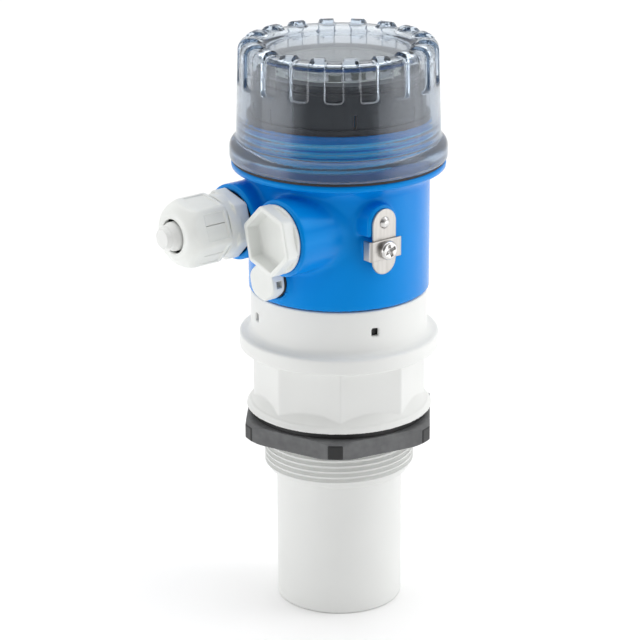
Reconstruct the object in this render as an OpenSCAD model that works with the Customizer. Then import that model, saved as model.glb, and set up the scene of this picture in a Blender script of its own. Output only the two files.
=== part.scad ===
// Compact level transmitter with a screwed process connection, for tanks and channels.
// Origin: centre of the sensor's lower face, which is the measuring datum. +Z points up
// along the device axis, the two cable entries face -X and the ground terminal faces -Y.
// Azimuths are counted from -Y towards +X.

/* [Sensor] */
// Outer diameter of the sensor tube
tube_d = 50; // [46:0.5:52]
// Wall of the sensor tube
tube_wall = 3; // [2:0.1:5]
// Thickness of the closed sensor face
face_t = 4; // [2.5:0.1:6]
// Rounding of the lower edge of the tube
tube_edge_r = 0.8; // [0.3:0.1:2]
// Free length of the tube below the thread
tube_len = 55.6; // [40:0.1:75]
// Outer diameter of the process thread
thread_d = 59.4; // [58:0.1:62]
// Pitch of the process thread, 11 turns to the inch
thread_pitch = 2.309; // [1.8:0.001:2.5]
// Depth of the process thread
thread_depth = 1.4; // [0.8:0.05:1.6]
// Length of the process thread up to the sealing face
thread_len = 25.8; // [22:0.1:34]
// Azimuth of the latch windows and of the octagon's flats
sensor_turn = -17; // [-45:1:45]

/* [Wrench part] */
// Step from the process thread out to the edge of the lower sealing flange
seat_step = 5.7; // [4:0.1:8]
// Thickness of the lower sealing flange
seat_t = 2.6; // [2:0.1:5]
// Flat land on top of the sealing flange, outside the cone that rises to the octagon
seat_land = 0.6; // [0.2:0.1:3]
// Step from the spigot out to the flats of the wrench octagon
octagon_step = 0.3; // [0:0.1:2]
// Height of the octagon
octagon_h = 22.6; // [12:0.2:30]
// Step from the collar out to the edge of the upper flange ring
ring_step = 4.5; // [4:0.1:8]
// Thickness of the upper flange ring
ring_t = 6.4; // [4:0.1:10]
// Fillet between the flange ring and the collar
ring_fillet = 2.4; // [1:0.1:3]
// Step from the housing body in to the collar
collar_step = 0.6; // [0.2:0.1:1.5]
// Wall of the collar
collar_wall = 3.65; // [3:0.05:5]
// Height of the collar above the flange ring
collar_h = 17.7; // [15:0.1:24]
// Width of a latch window
window_w = 2.9; // [2:0.1:4]
// Height of a latch window
window_h = 3.1; // [2:0.1:4]

/* [Counter nut and process seal] */
// Thickness of the process seal
seal_t = 2; // [1:0.1:3]
// Step from the sealing flange in to the edge of the process seal
seal_step = 0.4; // [0.1:0.1:2]
// Thickness of the counter nut
nut_t = 7.4; // [5:0.1:12]
// Width across the flats of the counter nut
nut_af = 72.5; // [70:0.5:80]
// Diameter to which the nut's corners are cut back
nut_corner_d = 81; // [78:0.5:90]
// Width of a flat that replaces a corner of the nut
nut_corner_w = 4.8; // [3:0.1:8]
// Azimuth of one corner of the nut
nut_turn = -42.5; // [-60:0.5:60]

/* [Housing] */
// Outer diameter of the housing body
body_d = 70.6; // [66:0.2:78]
// Height of the body from the collar to the underside of its top flange
body_h = 49; // [44:0.2:60]
// Step from the cover's rim in to the edge of the top flange
flange_step = 0.6; // [0:0.1:2]
// Thickness of the top flange
flange_t = 2.7; // [2:0.1:5]
// Fillet below the top flange
flange_fillet = 5; // [2:0.1:6]
// Step from the housing body out to the crests of the mouth thread
mouth_step = 0.9; // [0.5:0.1:2]
// Depth of the mouth thread
mouth_thread_depth = 1.1; // [0.6:0.05:1.5]
// Pitch of the mouth thread
mouth_pitch = 3.1; // [2.5:0.05:4]
// Height of the mouth above the flange
mouth_h = 17.8; // [15:0.1:24]
// Wall of the housing body
body_wall = 2.9; // [2.2:0.1:5]
// Length of the spigot that turns in the collar
spigot_len = 21.2; // [19:0.1:21.4]
// Thickness of the floor of the wiring space
floor_t = 3; // [2:0.1:5]

/* [Cable entries] */
// Height of the cable entries above the collar
entry_up = 30.6; // [28:0.1:36]
// Distance between the two entries
entry_pitch = 28.4; // [27.8:0.1:32]
// Outer diameter of an entry neck
neck_d = 29.6; // [28:0.1:31]
// Length by which the necks stand out from the housing body
neck_out = 6.4; // [4:0.1:14]
// Diameter of the entry thread
entry_d = 19.8; // [18:0.1:20]
// Pitch of the entry threads
entry_pitch_t = 1.5; // [1:0.1:2]
// Width across the flats of gland, nut and plug
wrench_af = 24; // [23:0.1:24.6]

/* [Cable gland] */
// Thickness of the gland's hexagon
gland_hex_t = 6.2; // [4:0.1:8]
// Length of the round collar between the hexagon and the cap nut
gland_collar_len = 3.4; // [1:0.1:5]
// Outer diameter of the thread below the cap nut
gland_thread_d = 22; // [20.5:0.1:22]
// Length of the thread below the cap nut
gland_thread_len = 10.6; // [10.5:0.1:14]
// Length of the cap nut's hexagon
cap_hex_len = 11.8; // [10:0.1:16]
// Length of the cap nut's dome
cap_dome_len = 6.8; // [5:0.1:9]
// Diameter of the cable opening
cable_hole_d = 13.2; // [11:0.1:14]
// Turn of the gland's hexagon
gland_turn = 15.4; // [-30:0.1:30]
// Turn of the cap nut
cap_turn = 20; // [-30:0.1:30]
// Length of the transport plug in front of the cap nut
stopper_len = 5; // [3:0.1:8]

/* [Blanking plug] */
// Diameter of the plug's flange
plug_flange_d = 26.4; // [25:0.1:27.4]
// Thickness of the plug's flange
plug_flange_t = 1.5; // [1:0.1:3]
// Height of the plug's hexagon
plug_hex_t = 4.8; // [3:0.1:7]
// Width across the flats of the socket in the plug
socket_af = 19.6; // [12:0.1:20]
// Depth of the socket in the plug
socket_depth = 5.2; // [4.6:0.1:8]
// Turn of the plug's hexagon
plug_turn = 13.4; // [-30:0.1:30]

/* [Vent plug] */
// Diameter of the vent cap
vent_d = 14.6; // [14.4:0.1:16]
// Thickness of the vent cap
vent_t = 5.7; // [4:0.1:8]
// Height of the vent above the collar
vent_up = 10.5; // [10:0.1:12]
// Sideways place of the vent
vent_y = -3; // [-6:0.1:6]
// Diameter of the vent's threaded shank
vent_shank_d = 11.4; // [9:0.1:11.4]

/* [Ground terminal] */
// Sideways place of the terminal
terminal_x = -10.6; // [-14:0.1:0]
// Height of the terminal screw above the collar
terminal_up = 26.2; // [22:0.1:30]
// Length by which the terminal's seat stands out from the housing body
terminal_out = 2.7; // [1.5:0.1:6]
// Width of the terminal strip
strip_w = 11.4; // [9:0.1:13]
// Thickness of the terminal strip
strip_t = 1; // [0.6:0.1:1.6]
// Length of the strip above the screw
strip_up = 15.6; // [13:0.1:18]
// Length of the strip below the screw
strip_down = 10; // [8:0.1:12]
// Diameter of the rivet head
rivet_d = 4.8; // [3.5:0.1:6]
// Height of the rivet above the screw
rivet_up = 10.3; // [9:0.1:12]
// Length of the wire clamp
clamp_w = 15; // [12:0.1:16]
// Height of the wire clamp
clamp_h = 7.6; // [7.4:0.1:9]
// Diameter of the screw head
screw_head_d = 7.4; // [6:0.1:7.4]
// Diameter of the terminal screw
screw_d = 4; // [3:0.1:5]

/* [Cover] */
// Step from the skirt out to the edge of the cover's rim
rim_step = 2.65; // [1.5:0.05:4]
// Height of the cover's rim below its shoulder
rim_h = 4.2; // [3:0.1:7]
// Radius of the cover's shoulder
shoulder_r = 4; // [3:0.1:4.4]
// Wall of the skirt just above the shoulder
skirt_wall = 2.95; // [2.8:0.05:5]
// Draft of the skirt from the shoulder up to its top
skirt_draft = 1.1; // [0:0.05:1.3]
// Overall height of the cover
cover_h = 45.9; // [43:0.1:56]
// Rounding of the cover's top edge
crown_r = 4; // [2.6:0.1:4.4]
// Number of grip grooves
grooves = 18; // [12:1:20]
// Width of a grip groove
groove_w = 6.8; // [4:0.1:7.4]
// Depth of a grip groove
groove_t = 1.6; // [0.6:0.05:1.9]
// Length of a grip groove below the top
groove_len = 16.2; // [8:0.1:24]
// Azimuth of one grip groove
groove_turn = -43; // [-60:0.5:60]
// Width of the flat land between the crown and the window's slope
crown_land = 2.8; // [1:0.1:6]
// Width of the slope down to the sunken window
window_slope = 5.05; // [3:0.05:8]
// Depth of the window below the crown
window_sink = 3.7; // [2:0.1:4.5]
// Thickness of the window
window_t = 2.6; // [2:0.1:4]
// Thickness of the cover seal
cover_seal_t = 1; // [0.6:0.1:2]

/* [Display] */
// Height of the seat ring that carries the display
seat_ring_t = 2; // [1.2:0.1:3]
// Step from the mouth thread in to the display case
case_in = 2.7; // [1.9:0.1:4]
// Height of the lower step of the display case
case_h = 13.4; // [10:0.1:15]
// Height of the upper step of the display case
case_top_h = 2.4; // [1.5:0.1:3]
// Width of the case's edge round the light frame
case_edge = 4.5; // [4:0.1:7]
// Width of the light frame round the display glass
frame_w = 7.4; // [4:0.1:9]
// Diameter of a key
key_d = 5.6; // [4:0.1:7]
// Travel of a key
key_travel = 0.8; // [0.4:0.1:1.2]
// Distance between two keys
key_pitch = 11; // [9:0.5:12]

/* [Hidden] */
$fn = 96;

// Clearances
run_gap = 0.05;   // a turning or threaded shaft in its bore
free_gap = 0.3;   // pieces that move past each other
seat_gap = 0.1;   // inner pieces that drop into a recess
eps = 0.01;       // overshoot of a cut

// Heights along the device axis
thread_top = tube_len + thread_len;
seat_top = thread_top + seat_t;
octagon_top = seat_top + octagon_h;
ring_top = octagon_top + ring_t;
collar_top = ring_top + collar_h;
body_bottom = collar_top + free_gap;
spigot_bottom = collar_top - spigot_len;
flange_bottom = collar_top + body_h;
flange_top = flange_bottom + flange_t;
mouth_top = flange_top + mouth_h;
floor_top = body_bottom + floor_t;
cover_bottom = flange_top + cover_seal_t;
cover_top = cover_bottom + cover_h;
shoulder_z = cover_bottom + rim_h;
seat_ring_top = mouth_top + seat_ring_t;
case_step_z = seat_ring_top + case_h;
case_top = case_step_z + case_top_h;
entry_z = collar_top + entry_up;
vent_z = collar_top + vent_up;
terminal_z = collar_top + terminal_up;

// Radii that follow from the housing body
body_r = body_d / 2;
cavity_r = body_r - body_wall;
collar_r = body_r - collar_step;
socket_r = collar_r - collar_wall;
spigot_r = socket_r - run_gap;
ring_r = collar_r + ring_step;
octagon_af = 2 * (spigot_r + octagon_step);
mouth_r = body_r + mouth_step;
cover_bore_r = mouth_r + free_gap;
skirt_r = cover_bore_r + skirt_wall;
crown_top_r = skirt_r - skirt_draft;
rim_r = skirt_r + rim_step;
flange_r = rim_r - flange_step;
land_r = crown_top_r - crown_r - crown_land;
window_r = land_r - window_slope;
neck_reach = body_r + neck_out;
terminal_reach = body_r + terminal_out;

// Sensor
tube_r = tube_d / 2;
thread_r = thread_d / 2;
bore_r = tube_r - tube_wall;
seat_r = thread_r + seat_step;
// The cone rises at 45 degrees and meets the flats of the octagon
seat_cone_top = seat_top + seat_r - seat_land - octagon_af / 2 + 1;
disc_t = 6;
disc_margin = 2;
ledge_z = spigot_bottom - 2.6;
ledge_r = spigot_r - 3;
clip_z = ring_top + 8.9;
clip_t = window_h - 2 * seat_gap;
clip_groove_r = collar_r - 1.6;

// Swivel seal
swivel_ring_r = 0.9;
swivel_groove_up = 3.6;
swivel_groove_h = 2.2;

// Entries
entry_r = entry_d / 2;
entry_bore_r = entry_r + run_gap;
plug_flange_r = plug_flange_d / 2;
neck_shank = 9.5;
o_ring_r = 0.7;
gland_front = neck_reach + seat_gap + gland_hex_t;
cap_back = gland_front + gland_collar_len;
cap_shoulder = cap_back + cap_hex_len;
cap_front = cap_shoulder + cap_dome_len;
gland_thread_r = gland_thread_d / 2;
insert_r = gland_thread_r - 1.7;
insert_wall = 4.3;
insert_bore_r = insert_r - insert_wall;
corner_r = wrench_af / 2 * 1.125;

// Vent
vent_r = vent_d / 2;
vent_seat = body_r + 0.1;
vent_shank_r = vent_shank_d / 2;
vent_ring_r = 0.5;
vent_shank = 6.4;
vent_bore_r = 2.2;
vent_slot = 2.6;
vent_slot_up = 1.2;

// Ground terminal
strip_z = terminal_reach + strip_t;
clamp_t = 1;
arch_margin = 1.4;
arch_bottom = 5.2;

// Cover
window_z = cover_top - window_sink;
ceiling_z = window_z - window_t;
groove_r = 1.4;
window_edge = 0.6;

// Display
case_r = mouth_r - case_in;
case_wall = 2.2;
case_slot = 0.8;
case_slot_h = 5.4;
frame_r = case_r - case_edge;
frame_t = 1;
glass_r = frame_r - frame_w;
key_y = -11.5;
key_rise = 0.9;
key_collar = 1;
board_t = 1.6;
seat_ring_skirt = 6;
seat_ring_wall = 3;

function polar(r, a) = [r * cos(a), r * sin(a)];
// Plane angle of an azimuth that is counted from -Y towards +X
function plane_angle(azimuth) = azimuth - 90;
// Ring-shaped ridges of a thread in a profile of radius against height, from z0 upwards
function ridges(r, depth, pitch, z0, count) = [
    for (i = [0 : count - 1]) each [
        [r - depth, z0 + i * pitch],
        [r, z0 + (i + 0.36) * pitch],
        [r, z0 + (i + 0.64) * pitch],
        [r - depth, z0 + (i + 1) * pitch]
    ]
];

// A disc or shaft between two heights
module rod(r, z0, z1) {
    translate([0, 0, z0]) cylinder(r = r, h = z1 - z0);
}

// A tube between two heights
module pipe(ro, ri, z0, z1) {
    difference() {
        rod(ro, z0, z1);
        rod(ri, z0 - 1, z1 + 1);
    }
}

// A hexagon across its flats
module hex(af, z0, z1, turn = 0) {
    translate([0, 0, z0]) rotate(turn) cylinder(d = af / cos(30), h = z1 - z0, $fn = 6);
}

module o_ring(r, section_r, z) {
    translate([0, 0, z]) rotate_extrude() translate([r, 0]) circle(r = section_r, $fn = 32);
}

// Children with their +Z along -X, at a cable entry or the vent
module facing_left(y, z) {
    translate([0, y, z]) rotate([0, -90, 0]) children();
}

// Children with their +Z along -Y, at the ground terminal
module facing_front() {
    translate([terminal_x, 0, terminal_z]) rotate([90, 0, 0]) children();
}

// ---- Sensor ----

module sensor_outline() {
    thread_z = tube_len + 0.6;
    turns = floor((thread_len - 1.4) / thread_pitch);
    polygon(concat(
        [[0, 0], [tube_r - tube_edge_r, 0]],
        [for (a = [-60 : 30 : 0]) [tube_r - tube_edge_r, tube_edge_r] + tube_edge_r * [cos(a), sin(a)]],
        [[tube_r, tube_len], [thread_r - thread_depth, tube_len]],
        ridges(thread_r, thread_depth, thread_pitch, thread_z, turns),
        [[thread_r - thread_depth, thread_top], [seat_r, thread_top],
         [seat_r, seat_top], [seat_r - seat_land, seat_top],
         [octagon_af / 2 - 1, seat_cone_top], [0, seat_cone_top]]
    ));
}

module ring_outline() {
    r = ring_r;
    edge = 0.8;
    difference() {
        polygon([
            [0, octagon_top], [r - edge, octagon_top], [r, octagon_top + edge],
            [r, ring_top - edge], [r - edge, ring_top],
            [collar_r + ring_fillet, ring_top], [collar_r, ring_top + ring_fillet],
            [collar_r, collar_top], [0, collar_top]
        ]);
        translate([collar_r + ring_fillet, ring_top + ring_fillet]) circle(r = ring_fillet);
    }
}

module octagon() {
    // The corners are turned down to the seat's diameter
    intersection() {
        translate([0, 0, seat_top - eps])
            rotate(plane_angle(sensor_turn) + 22.5)
                cylinder(d = octagon_af / cos(22.5), h = octagon_h + 2 * eps, $fn = 8);
        rod(seat_r - seat_land, seat_top - eps, octagon_top + eps);
    }
}

module sensor_body() {
    color("gainsboro") difference() {
        union() {
            rotate_extrude() sensor_outline();
            octagon();
            rotate_extrude() ring_outline();
        }
        rod(bore_r, face_t, ledge_z + eps);
        rod(socket_r, ledge_z, collar_top + 1);
        pipe(clip_groove_r, socket_r - 1, clip_z - clip_t / 2 - seat_gap, clip_z + clip_t / 2 + seat_gap);
        for (i = [0 : 3])
            rotate(plane_angle(sensor_turn) + 90 * i)
                translate([spigot_r - 1, -window_w / 2, clip_z - window_h / 2])
                    cube([collar_r, window_w, window_h]);
    }
}

module transducer_disc() {
    color("lightsteelblue") rod(bore_r - disc_margin, face_t, face_t + disc_t);
}

module encapsulation() {
    color("darkslategray") rod(bore_r - seat_gap, face_t + disc_t, ledge_z - 4);
}

module sensor_board() {
    color("darkgreen") rod(socket_r - 1, ledge_z, ledge_z + board_t);
}

// Split snap ring in the collar's groove, which the latch windows give access to
module retaining_ring() {
    color("silver") difference() {
        pipe(clip_groove_r - seat_gap, spigot_r - 0.9, clip_z - clip_t / 2, clip_z + clip_t / 2);
        rotate(plane_angle(sensor_turn) + 45)
            translate([spigot_r - 3, -2, clip_z - clip_t])
                cube([8, 4, 2 * clip_t]);
    }
}

// ---- Counter nut and process seal ----

module process_seal() {
    color("black") pipe(seat_r - seal_step, thread_r + free_gap, thread_top - seal_t, thread_top);
}

module counter_nut() {
    top = thread_top - seal_t;
    bottom = top - nut_t;
    chamfer = 1.4;
    color("dimgray") difference() {
        intersection() {
            hex(nut_af, bottom, top, plane_angle(nut_turn));
            // Six narrow flats in place of the corners
            translate([0, 0, bottom])
                rotate(plane_angle(nut_turn) + 30)
                    cylinder(d = nut_corner_d / cos(30), h = nut_t, $fn = 6);
            // Chamfered rims
            rotate_extrude() polygon([
                [0, bottom], [nut_af / 2 + chamfer, bottom], [nut_corner_d / 2 + 1, bottom + chamfer],
                [nut_corner_d / 2 + 1, top - chamfer], [nut_af / 2 + chamfer, top], [0, top]
            ]);
        }
        rod(thread_r + run_gap, bottom - 1, top + 1);
    }
}

// ---- Housing ----

module housing_outline() {
    turns = 4;
    thread_z = mouth_top - 1.2 - turns * mouth_pitch;
    difference() {
        polygon(concat(
            [[0, spigot_bottom], [spigot_r - 0.8, spigot_bottom], [spigot_r, spigot_bottom + 0.8],
             [spigot_r, body_bottom], [body_r, body_bottom],
             [body_r, flange_bottom - flange_fillet], [body_r + flange_fillet, flange_bottom],
             [flange_r - 0.8, flange_bottom], [flange_r, flange_bottom + 0.8],
             [flange_r, flange_top], [mouth_r - mouth_thread_depth, flange_top]],
            ridges(mouth_r, mouth_thread_depth, mouth_pitch, thread_z, turns),
            [[mouth_r - mouth_thread_depth, mouth_top - 0.5],
             [mouth_r - mouth_thread_depth - 0.5, mouth_top], [0, mouth_top]]
        ));
        translate([body_r + flange_fillet, flange_bottom - flange_fillet]) circle(r = flange_fillet);
    }
}

// Arch-topped boss behind the upper half of the ground strip
module terminal_boss() {
    w = strip_w + 2 * arch_margin;
    arch_y = strip_up - strip_w / 2;
    facing_front() {
        translate([0, 0, body_r / 2]) linear_extrude(terminal_reach - body_r / 2) {
            translate([0, arch_y]) circle(d = w);
            translate([-w / 2, arch_bottom]) square([w, arch_y - arch_bottom]);
        }
        rod(clamp_h / 2 + 0.6, body_r / 2, terminal_reach);
    }
}

module housing() {
    color("dodgerblue") difference() {
        union() {
            rotate_extrude() housing_outline();
            for (side = [-1, 1])
                facing_left(side * entry_pitch / 2, entry_z) rod(neck_d / 2, body_r / 3, neck_reach);
            facing_left(vent_y, vent_z) rod(vent_r + 0.9, body_r / 2, vent_seat);
            terminal_boss();
        }
        // Wiring space and the hollow spigot
        rod(cavity_r, floor_top, mouth_top + 1);
        rod(ledge_r, spigot_bottom - 1, body_bottom);
        // Threaded entries with a seat for their sealing rings
        for (side = [-1, 1])
            facing_left(side * entry_pitch / 2, entry_z) {
                rod(entry_bore_r, 0, neck_reach + 1);
                rod(entry_r + 2.5, neck_reach - 1.7, neck_reach + 1);
            }
        // Vent hole with its seat
        facing_left(vent_y, vent_z) {
            rod(vent_shank_r + run_gap, 10, vent_seat + 1);
            rod(vent_shank_r + 1.7, vent_seat - 1.4, vent_seat + 1);
        }
        // Blind holes for the terminal screw and the rivet
        facing_front() {
            rod(screw_d / 2 + run_gap, cavity_r + 0.1, terminal_reach + 1);
            translate([0, rivet_up]) rod(1.5 + run_gap, terminal_reach - 3, terminal_reach + 1);
        }
        // Grooves of the swivel seal and of the retaining ring
        pipe(spigot_r + 1, spigot_r - 2 * swivel_ring_r - 0.2,
             spigot_bottom + swivel_groove_up, spigot_bottom + swivel_groove_up + swivel_groove_h);
        pipe(spigot_r + 1, spigot_r - 1.2, clip_z - clip_t / 2 - free_gap, clip_z + clip_t / 2 + free_gap);
    }
    // Pillars that carry the main board
    color("dodgerblue") for (a = [45 : 90 : 315])
        rotate(a) translate([cavity_r - 6, 0]) rod(3, floor_top - eps, board_z());
}

function board_z() = entry_z - entry_r - 3.5;

module swivel_seal() {
    color("black") o_ring(
        spigot_r - seat_gap - swivel_ring_r, swivel_ring_r,
        spigot_bottom + swivel_groove_up + swivel_groove_h / 2);
}

module main_board() {
    color("darkgreen") rod(cavity_r - 2, board_z(), board_z() + board_t);
}

block_x = 5;
block_w = 15;
block_l = 40;
block_h = 16;
terminals = 5;
funnel_r = 2.6;
clamp_up = 7;

module terminal_block() {
    top = board_z() + board_t + block_h;
    step = block_l / terminals;
    color("darkolivegreen") difference() {
        translate([block_x, -block_l / 2, board_z() + board_t]) cube([block_w, block_l, block_h]);
        for (i = [0 : terminals - 1]) {
            y = (i - (terminals - 1) / 2) * step;
            translate([block_x + block_w / 2, y]) rod(funnel_r, top - clamp_up, top + 1);
            translate([block_x - 1, y - 2.4, top - 13]) cube([8, 4.8, 4.6]);
        }
    }
}

module terminal_screws() {
    top = board_z() + board_t + block_h;
    step = block_l / terminals;
    color("silver") for (i = [0 : terminals - 1])
        translate([block_x + block_w / 2, (i - (terminals - 1) / 2) * step]) difference() {
            rod(funnel_r - seat_gap, top - clamp_up, top - 2);
            translate([-funnel_r - 1, -0.4, top - 3]) cube([2 * funnel_r + 2, 0.8, 2]);
        }
}

// ---- Display ----

module seat_ring() {
    color([0.12, 0.13, 0.14]) difference() {
        union() {
            rod(mouth_r - mouth_thread_depth, mouth_top, seat_ring_top);
            rod(cavity_r - seat_gap, mouth_top - seat_ring_skirt, mouth_top + eps);
        }
        rod(cavity_r - seat_ring_wall, mouth_top - seat_ring_skirt - 1, seat_ring_top + 1);
    }
}

module case_outline() {
    step_r = case_r - 1.1;
    polygon([
        [0, case_top - case_wall], [step_r - case_wall, case_top - case_wall],
        [step_r - case_wall, case_step_z], [case_r - case_wall, case_step_z - 1],
        [case_r - case_wall, seat_ring_top], [case_r, seat_ring_top],
        [case_r, case_step_z - 0.5], [case_r - 0.5, case_step_z], [step_r, case_step_z],
        [step_r, case_top - 0.8], [step_r - 0.8, case_top], [0, case_top]
    ]);
}

// Holes for the three keys between two heights
module key_holes(z0, z1) {
    for (i = [-1 : 1])
        translate([i * key_pitch, key_y]) rod(key_d / 2 + free_gap, z0, z1);
}

module display_case() {
    color([0.16, 0.18, 0.2]) difference() {
        rotate_extrude() case_outline();
        // Recess for the frame and the glass
        rod(frame_r + seat_gap, case_top - frame_t, case_top + 1);
        key_holes(case_top - 4, case_top + 1);
        // Slots beside the snap arms round the foot
        for (a = [-70, -48, 10, 55, 110, 145, 190, 235])
            rotate(plane_angle(a - 40))
                translate([case_r - case_wall - 1, -case_slot / 2, seat_ring_top - eps])
                    cube([case_wall + 2, case_slot, case_slot_h]);
    }
}

module display_board() {
    z = case_top - case_wall - 4;
    color("darkgreen") rod(case_r - case_wall - seat_gap, z - board_t, z);
}

module display_frame() {
    color("lightgray") pipe(frame_r, glass_r + seat_gap, case_top - frame_t, case_top);
}

module display_glass() {
    color([0.1, 0.12, 0.12]) difference() {
        rod(glass_r, case_top - frame_t, case_top - seat_gap);
        key_holes(case_top - 4, case_top + 1);
    }
}

// Key i, counted -1, 0, 1 from the left, with a collar that the case holds in
module key(i) {
    color("gray") translate([i * key_pitch, key_y]) {
        rod(key_d / 2, case_top - case_wall - 2.2, case_top + key_rise);
        rod(key_d / 2 + key_collar, case_top - case_wall - 2.2, case_top - case_wall - 1.2);
    }
}

// ---- Cover ----

// Outline of the cover's outside, drawn in by `inset` above the shoulder
module cover_outline(inset = 0) {
    side_r = skirt_r - inset;
    top_r = crown_top_r - inset;
    corner = crown_r - inset;
    corner_z = cover_top - crown_r;
    polygon([
        [0, cover_bottom], [rim_r, cover_bottom], [rim_r, shoulder_z],
        [rim_r - shoulder_r, shoulder_z + shoulder_r], [side_r, shoulder_z + shoulder_r],
        [top_r, corner_z], [top_r - corner, cover_top - inset],
        [land_r + inset, cover_top - inset], [window_r + window_edge, window_z + window_edge],
        [window_r, window_z], [0, window_z]
    ]);
    translate([rim_r - shoulder_r, shoulder_z]) circle(r = shoulder_r);
    translate([top_r - corner, corner_z]) circle(r = corner);
}

module cover_cavity() {
    top_r = crown_top_r - groove_t - 1.3;
    bevel = 2.4;
    polygon([
        [0, cover_bottom - 1], [cover_bore_r, cover_bottom - 1], [cover_bore_r, mouth_top + 1],
        [top_r, ceiling_z - bevel], [top_r - bevel, ceiling_z], [0, ceiling_z]
    ]);
}

// Slot with a rounded lower end, as seen from outside, reaching above the cover
module groove_slot() {
    r = groove_r;
    bottom = cover_top - groove_len;
    rotate([90, 0, 90]) translate([0, bottom, skirt_r / 2]) linear_extrude(skirt_r) {
        translate([-groove_w / 2, r]) square([groove_w, groove_len + 5]);
        translate([-groove_w / 2 + r, 0]) square([groove_w - 2 * r, r + 1]);
        for (s = [-1, 1]) translate([s * (groove_w / 2 - r), r]) circle(r = r);
    }
}

module cover() {
    color([0.45, 0.5, 0.55, 0.5]) difference() {
        rotate_extrude() difference() {
            cover_outline();
            cover_cavity();
        }
        // Grip grooves, cut down to the inset outline
        difference() {
            for (i = [0 : grooves - 1])
                rotate(plane_angle(groove_turn) + i * 360 / grooves) groove_slot();
            rotate_extrude() cover_outline(groove_t);
        }
    }
}

module cover_seal() {
    color("black") pipe(rim_r - 1, cover_bore_r + 0.1, flange_top, cover_bottom);
}

// ---- Cable gland, with +Z pointing out of the entry ----

module at_gland() {
    facing_left(entry_pitch / 2, entry_z) children();
}

// A hexagon whose corners are turned round and chamfered
module turned_hex(z0, z1, turn, chamfer = 0.7) {
    intersection() {
        hex(wrench_af, z0, z1, turn);
        rotate_extrude() polygon([
            [0, z0], [corner_r - chamfer, z0], [corner_r, z0 + chamfer],
            [corner_r, z1 - chamfer], [corner_r - chamfer, z1], [0, z1]
        ]);
    }
}

module gland_body() {
    back = neck_reach + seat_gap;
    color("whitesmoke") at_gland() difference() {
        union() {
            rod(entry_r, back - neck_shank, back + eps);
            turned_hex(back, gland_front, gland_turn);
            rod(corner_r - 1.2, gland_front - eps, cap_back - free_gap);
            rod(gland_thread_r, gland_front, cap_back + gland_thread_len);
        }
        rod(entry_r - 2.4, back - neck_shank - 1, cap_back + 3);
        rod(insert_r + free_gap, cap_back + 2.5, cap_back + gland_thread_len + 1);
    }
}

module gland_o_ring() {
    color("black") at_gland() o_ring(entry_r + 0.4 + o_ring_r, o_ring_r, neck_reach - o_ring_r);
}

// Rubber insert in its clamping cage, pressed by the dome of the cap nut
module sealing_insert() {
    z0 = cap_back + 2.5 + free_gap;
    color("darkslategray") at_gland() difference() {
        rotate_extrude() polygon([
            [insert_bore_r, z0], [insert_r, z0], [insert_r, cap_shoulder],
            [insert_r - 1.6, cap_shoulder + 3.2], [insert_bore_r, cap_shoulder + 3.2]
        ]);
    }
}

module cap_outline() {
    lip_r = cable_hole_d / 2 + 2;
    polygon([
        [0, cap_back], [corner_r - 0.7, cap_back], [corner_r, cap_back + 0.7],
        [corner_r, cap_shoulder - 0.4], [corner_r - 0.7, cap_shoulder + 1.4],
        [corner_r - 2, cap_shoulder + 3.4], [corner_r - 3.6, cap_shoulder + 5.3],
        [lip_r + 0.6, cap_front - 0.4], [lip_r - 0.6, cap_front], [0, cap_front]
    ]);
}

module gland_cap() {
    panel_w = 9.4;
    panel_t = 0.4;
    color("whitesmoke") at_gland() difference() {
        intersection() {
            hex(wrench_af, cap_back, cap_front, cap_turn);
            rotate_extrude() cap_outline();
        }
        // Threaded bore, pressing cone and cable opening
        rotate_extrude() polygon([
            [0, cap_back - 1], [gland_thread_r + free_gap, cap_back - 1],
            [gland_thread_r + free_gap, cap_shoulder], [insert_r + 0.5, cap_shoulder + 0.5],
            [cable_hole_d / 2, cap_shoulder + 5.4], [cable_hole_d / 2, cap_front + 1], [0, cap_front + 1]
        ]);
        // A shallow panel in each flat leaves a rib along each corner
        for (i = [0 : 5])
            rotate(cap_turn + 30 + 60 * i)
                translate([wrench_af / 2 - panel_t, -panel_w / 2, cap_back + 1.6])
                    cube([3, panel_w, cap_hex_len - 2.4]);
    }
}

// Stopper that closes the gland until a cable is pulled in
module transport_plug() {
    neck_z = cap_back + 5;
    tip = cap_front + stopper_len;
    color("white") at_gland() rotate_extrude() polygon([
        [0, neck_z], [insert_bore_r - seat_gap, neck_z],
        [insert_bore_r - seat_gap, cap_shoulder + 3.2 + seat_gap],
        [cable_hole_d / 2 - 0.5, cap_shoulder + 3.2 + seat_gap + 1.6],
        [cable_hole_d / 2 - 0.5, cap_front + 0.6], [cable_hole_d / 2 - 1.4, cap_front + 2],
        [4, tip - 0.7], [3.2, tip], [0, tip]
    ]);
}

// ---- Blanking plug ----

module at_blank() {
    facing_left(-entry_pitch / 2, entry_z) children();
}

module blanking_plug() {
    back = neck_reach + seat_gap;
    front = back + plug_flange_t + plug_hex_t;
    color("whitesmoke") at_blank() difference() {
        union() {
            rod(entry_r, back - neck_shank, back + eps);
            rotate_extrude() polygon([
                [0, back], [plug_flange_r, back], [plug_flange_r, back + plug_flange_t - 0.5],
                [plug_flange_r - 0.5, back + plug_flange_t], [0, back + plug_flange_t]
            ]);
            turned_hex(back + plug_flange_t - eps, front, plug_turn, 0.5);
        }
        hex(socket_af, front - socket_depth, front + 1, plug_turn);
    }
}

module blanking_o_ring() {
    color("black") at_blank() o_ring(entry_r + 0.4 + o_ring_r, o_ring_r, neck_reach - o_ring_r);
}

// ---- Vent plug ----

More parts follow.
